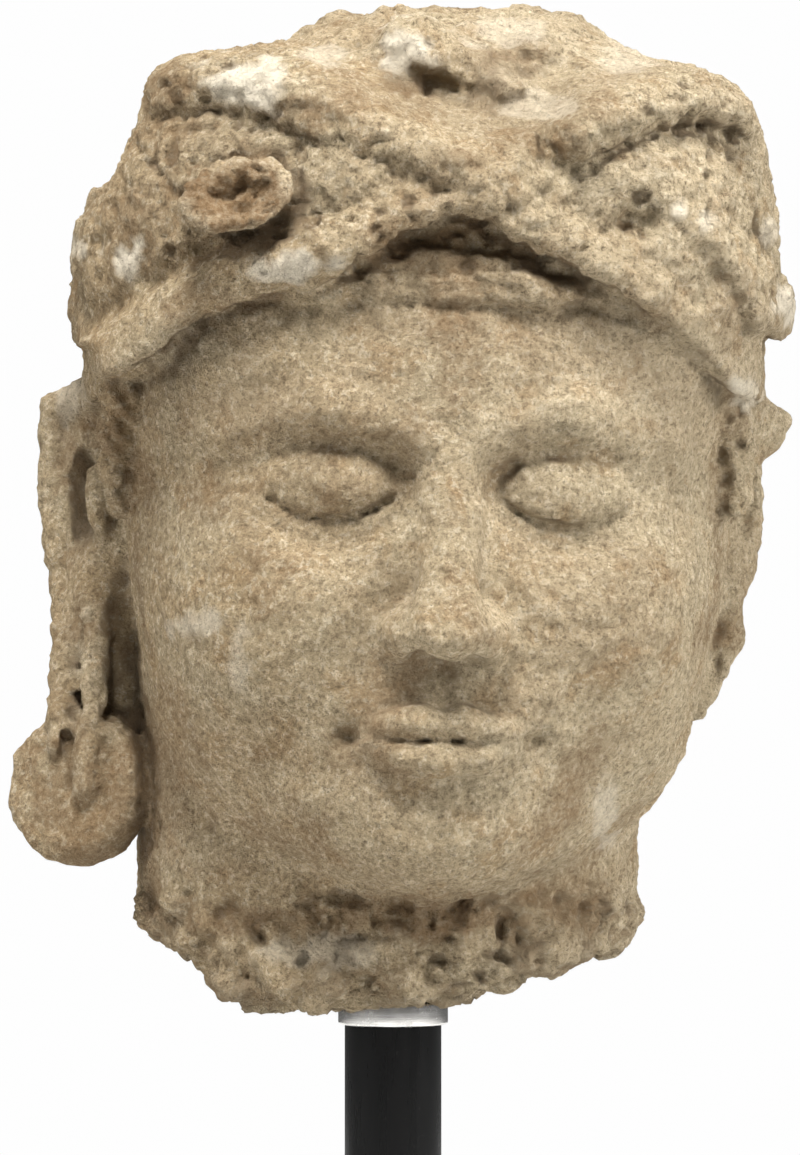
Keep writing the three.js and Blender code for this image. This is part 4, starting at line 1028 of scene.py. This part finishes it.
def store_wear_and_shade(mesh, points, normals):
    """Stores, at each vertex, how hollow and creased the stucco is for earth and painted shade, how worn,
    limed and coarse it is, and its stains and painted shadow under the jaw.
    """
    # The hollow and crease shares darken the stucco as earth and as painted shade
    hollow = 0.5 * hollow_share(points, normals, NEAR) + 0.5 * hollow_share(points, normals, WIDE)
    store(mesh, "hollow", hollow)
    store(mesh, "crease", hollow_share(points, normals, CREASE))
    store(mesh, "ridge", edge_share(points, normals, EDGE))
    store(mesh, "lime", patches(points, normals, LIME, 31))
    store(mesh, "stain_and_jaw_shadow", stain_and_jaw_shadow_share(points, normals))
    store(mesh, "coarse", roughness_of(points))


class CarveHead(Operator):
    """Carve the weathered head with its turban, ears and earring"""

    bl_idname = "object.carve_stucco_head"
    bl_label = "Stucco Head"

    def execute(self, context):
        sizes = context.scene.stucco_head
        obj = new_object("head_stucco", carved_mesh(sizes))
        thin_out(obj, sizes.most_faces, context)
        mesh = obj.data
        points, normals = vertex_values(mesh, "co"), vertex_values(mesh, "normal")
        store_wear_and_shade(mesh, points, normals)
        place = (points + (0, 0, SEAT)) / 1000
        mesh.vertices.foreach_set("co", place.ravel())
        mesh.update()
        mesh.shade_smooth()
        mesh.materials.append(stucco_finish(sizes))
        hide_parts("head")
        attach(obj, "root")
        return {"FINISHED"}


class TurnPost(Operator):
    """Turn the black post that stands in the neck and the foot"""

    bl_idname = "object.turn_black_post"
    bl_label = "Black Post"

    def execute(self, context):
        sizes = context.scene.head_mount
        radius = POST_HIGH[0]
        size = sizes.edge
        low, high = POST_LOW[2], POST_HIGH[2]
        profile = [(0, low)]
        profile += rounded(radius - size, low + size, size, 6, -math.pi / 2)
        steps = 12
        profile += [(radius, low + (high - low) * i / steps) for i in range(1, steps)]
        profile += rounded(radius - size, high - size, size, 6, 0)
        profile += [(0, high)]
        obj = new_object("black_post", turned_mesh("black_post", profile))
        shade_smooth(obj)
        obj.data.materials.append(black_finish("Black post paint", sizes.black, sizes.post_roughness))
        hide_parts("post")
        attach(obj, "root")
        return {"FINISHED"}


class TurnCollar(Operator):
    """Turn the polished steel collar under the neck"""

    bl_idname = "object.turn_steel_collar"
    bl_label = "Steel Collar"

    def execute(self, context):
        sizes = context.scene.head_mount
        size = sizes.edge
        outside = COLLAR_HIGH[0]
        inside = POST_HIGH[0] + GAP / 1000
        low, high = COLLAR_LOW[2], COLLAR_HIGH[2]
        profile = [(inside, low)]
        profile += rounded(outside - size, low + size, size, 5, -math.pi / 2)
        profile += rounded(outside - size, high - size, size, 5, 0)
        profile += [(inside, high)]
        obj = new_object("steel_collar", turned_mesh("steel_collar", profile))
        shade_smooth(obj)
        obj.data.materials.append(steel_finish(sizes.steel, sizes.steel_roughness))
        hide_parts("collar")
        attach(obj, "root")
        return {"FINISHED"}


class PaintFoot(Operator):
    """Paint the square foot satin black"""

    bl_idname = "object.paint_square_foot"
    bl_label = "Square Foot"

    def execute(self, context):
        sizes = context.scene.head_mount
        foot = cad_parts["foot"]
        foot.data.materials.clear()
        foot.data.materials.append(black_finish("Black foot paint", sizes.black, sizes.foot_roughness))
        return {"FINISHED"}


FLOOR_THICKNESS = 0.004
# How white the surround looks to the camera
SEEN_WHITE = 0.99
LAMP_AIM = (0, 0, 0.25)
# The soft lamps: name, place, width and height in metres, and watts
LAMPS = (
    ("Top softbox", (-0.05, -0.6, 1.25), 0.35, 0.35, 21),
    ("Right softbox", (1.1, -0.45, 0.75), 0.3, 0.6, 15),
    ("Left softbox", (-1.15, -0.35, 0.75), 0.4, 0.8, 7.5),
)


def pale_floor(sizes):
    radius = sizes.floor_radius
    profile = [(0, -FLOOR_THICKNESS), (radius, -FLOOR_THICKNESS), (radius, 0), (0, 0)]
    floor = new_object("pale_floor", turned_mesh("pale_floor", profile, 96))
    floor.data.materials.append(floor_finish(sizes.floor))


def white_surround(scene, fill):
    """A soft even light from all round, which the camera sees as white."""
    surround = bpy.data.worlds.new("White surround")
    scene.world = surround
    surround.use_nodes = True
    nodes, links = surround.node_tree.nodes, surround.node_tree.links
    background = nodes["Background"]
    background.inputs["Color"].default_value = (1, 1, 1, 1)
    seen = nodes.new("ShaderNodeLightPath").outputs["Is Camera Ray"]
    strength = nodes.new("ShaderNodeMapRange")
    strength.inputs["To Min"].default_value = fill
    strength.inputs["To Max"].default_value = SEEN_WHITE
    links.new(seen, strength.inputs["Value"])
    links.new(strength.outputs[0], background.inputs["Strength"])


def soft_lamp(scene, name, place, width, height, power):
    data = bpy.data.lights.new(name, "AREA")
    data.shape = "RECTANGLE"
    data.size, data.size_y = width, height
    data.energy = power
    lamp = bpy.data.objects.new(name, data)
    scene.collection.objects.link(lamp)
    lamp.location = place
    lamp.rotation_euler = (Vector(LAMP_AIM) - Vector(place)).to_track_quat("-Z", "Y").to_euler()


def photograph_camera(scene):
    data = bpy.data.cameras.new("Photograph's view")
    camera = bpy.data.objects.new("Photograph's view", data)
    scene.collection.objects.link(camera)
    data.sensor_width = 36
    data.lens = data.sensor_width * EYE_DISTANCE / (PHOTO_HEIGHT * MM_PER_PIXEL)
    camera.location = (EYE_ACROSS / 1000, -EYE_DISTANCE / 1000, (SEAT + EYE_HEIGHT) / 1000)
    camera.rotation_euler = (math.pi / 2, 0, 0)
    scene.camera = camera


class SetStage(Operator):
    """Lay the pale floor and set the soft lamps and the camera"""

    bl_idname = "scene.set_head_stage"
    bl_label = "Stage"

    def execute(self, context):
        sizes = context.scene.head_stage
        scene = context.scene
        scene.view_settings.view_transform = "Standard"
        pale_floor(sizes)
        white_surround(scene, sizes.fill)
        for name, place, width, height, power in LAMPS:
            soft_lamp(scene, name, place, width, height, power * sizes.key)
        photograph_camera(scene)
        return {"FINISHED"}


class StuccoHeadPanel(Panel):
    """Lists the steps that make the head and its mount"""

    bl_label = "Stucco Head"
    bl_idname = "VIEW3D_PT_stucco_head"
    bl_space_type = "VIEW_3D"
    bl_region_type = "UI"
    bl_category = "Stucco Head"

    def draw(self, context):
        layout = self.layout
        scene = context.scene
        for group, steps in (
            (scene.stucco_head, (CarveHead,)),
            (scene.head_mount, (TurnPost, TurnCollar, PaintFoot)),
            (scene.head_stage, (SetStage,)),
        ):
            box = layout.box()
            for name in group.__annotations__:
                box.prop(group, name)
            for step in steps:
                box.operator(step.bl_idname)


CLASSES = (
    StuccoSizes, MountSizes, StageSizes,
    CarveHead, TurnPost, TurnCollar, PaintFoot, SetStage, StuccoHeadPanel,
)


def register():
    for cls in CLASSES:
        bpy.utils.register_class(cls)
    bpy.types.Scene.stucco_head = PointerProperty(type=StuccoSizes)
    bpy.types.Scene.head_mount = PointerProperty(type=MountSizes)
    bpy.types.Scene.head_stage = PointerProperty(type=StageSizes)


def unregister():
    del bpy.types.Scene.head_stage
    del bpy.types.Scene.head_mount
    del bpy.types.Scene.stucco_head
    for cls in reversed(CLASSES):
        bpy.utils.unregister_class(cls)


def main():
    register()
    bpy.ops.object.carve_stucco_head()
    bpy.ops.object.turn_black_post()
    bpy.ops.object.turn_steel_collar()
    bpy.ops.object.paint_square_foot()
    bpy.ops.scene.set_head_stage()


if __name__ == "__main__":
    main()
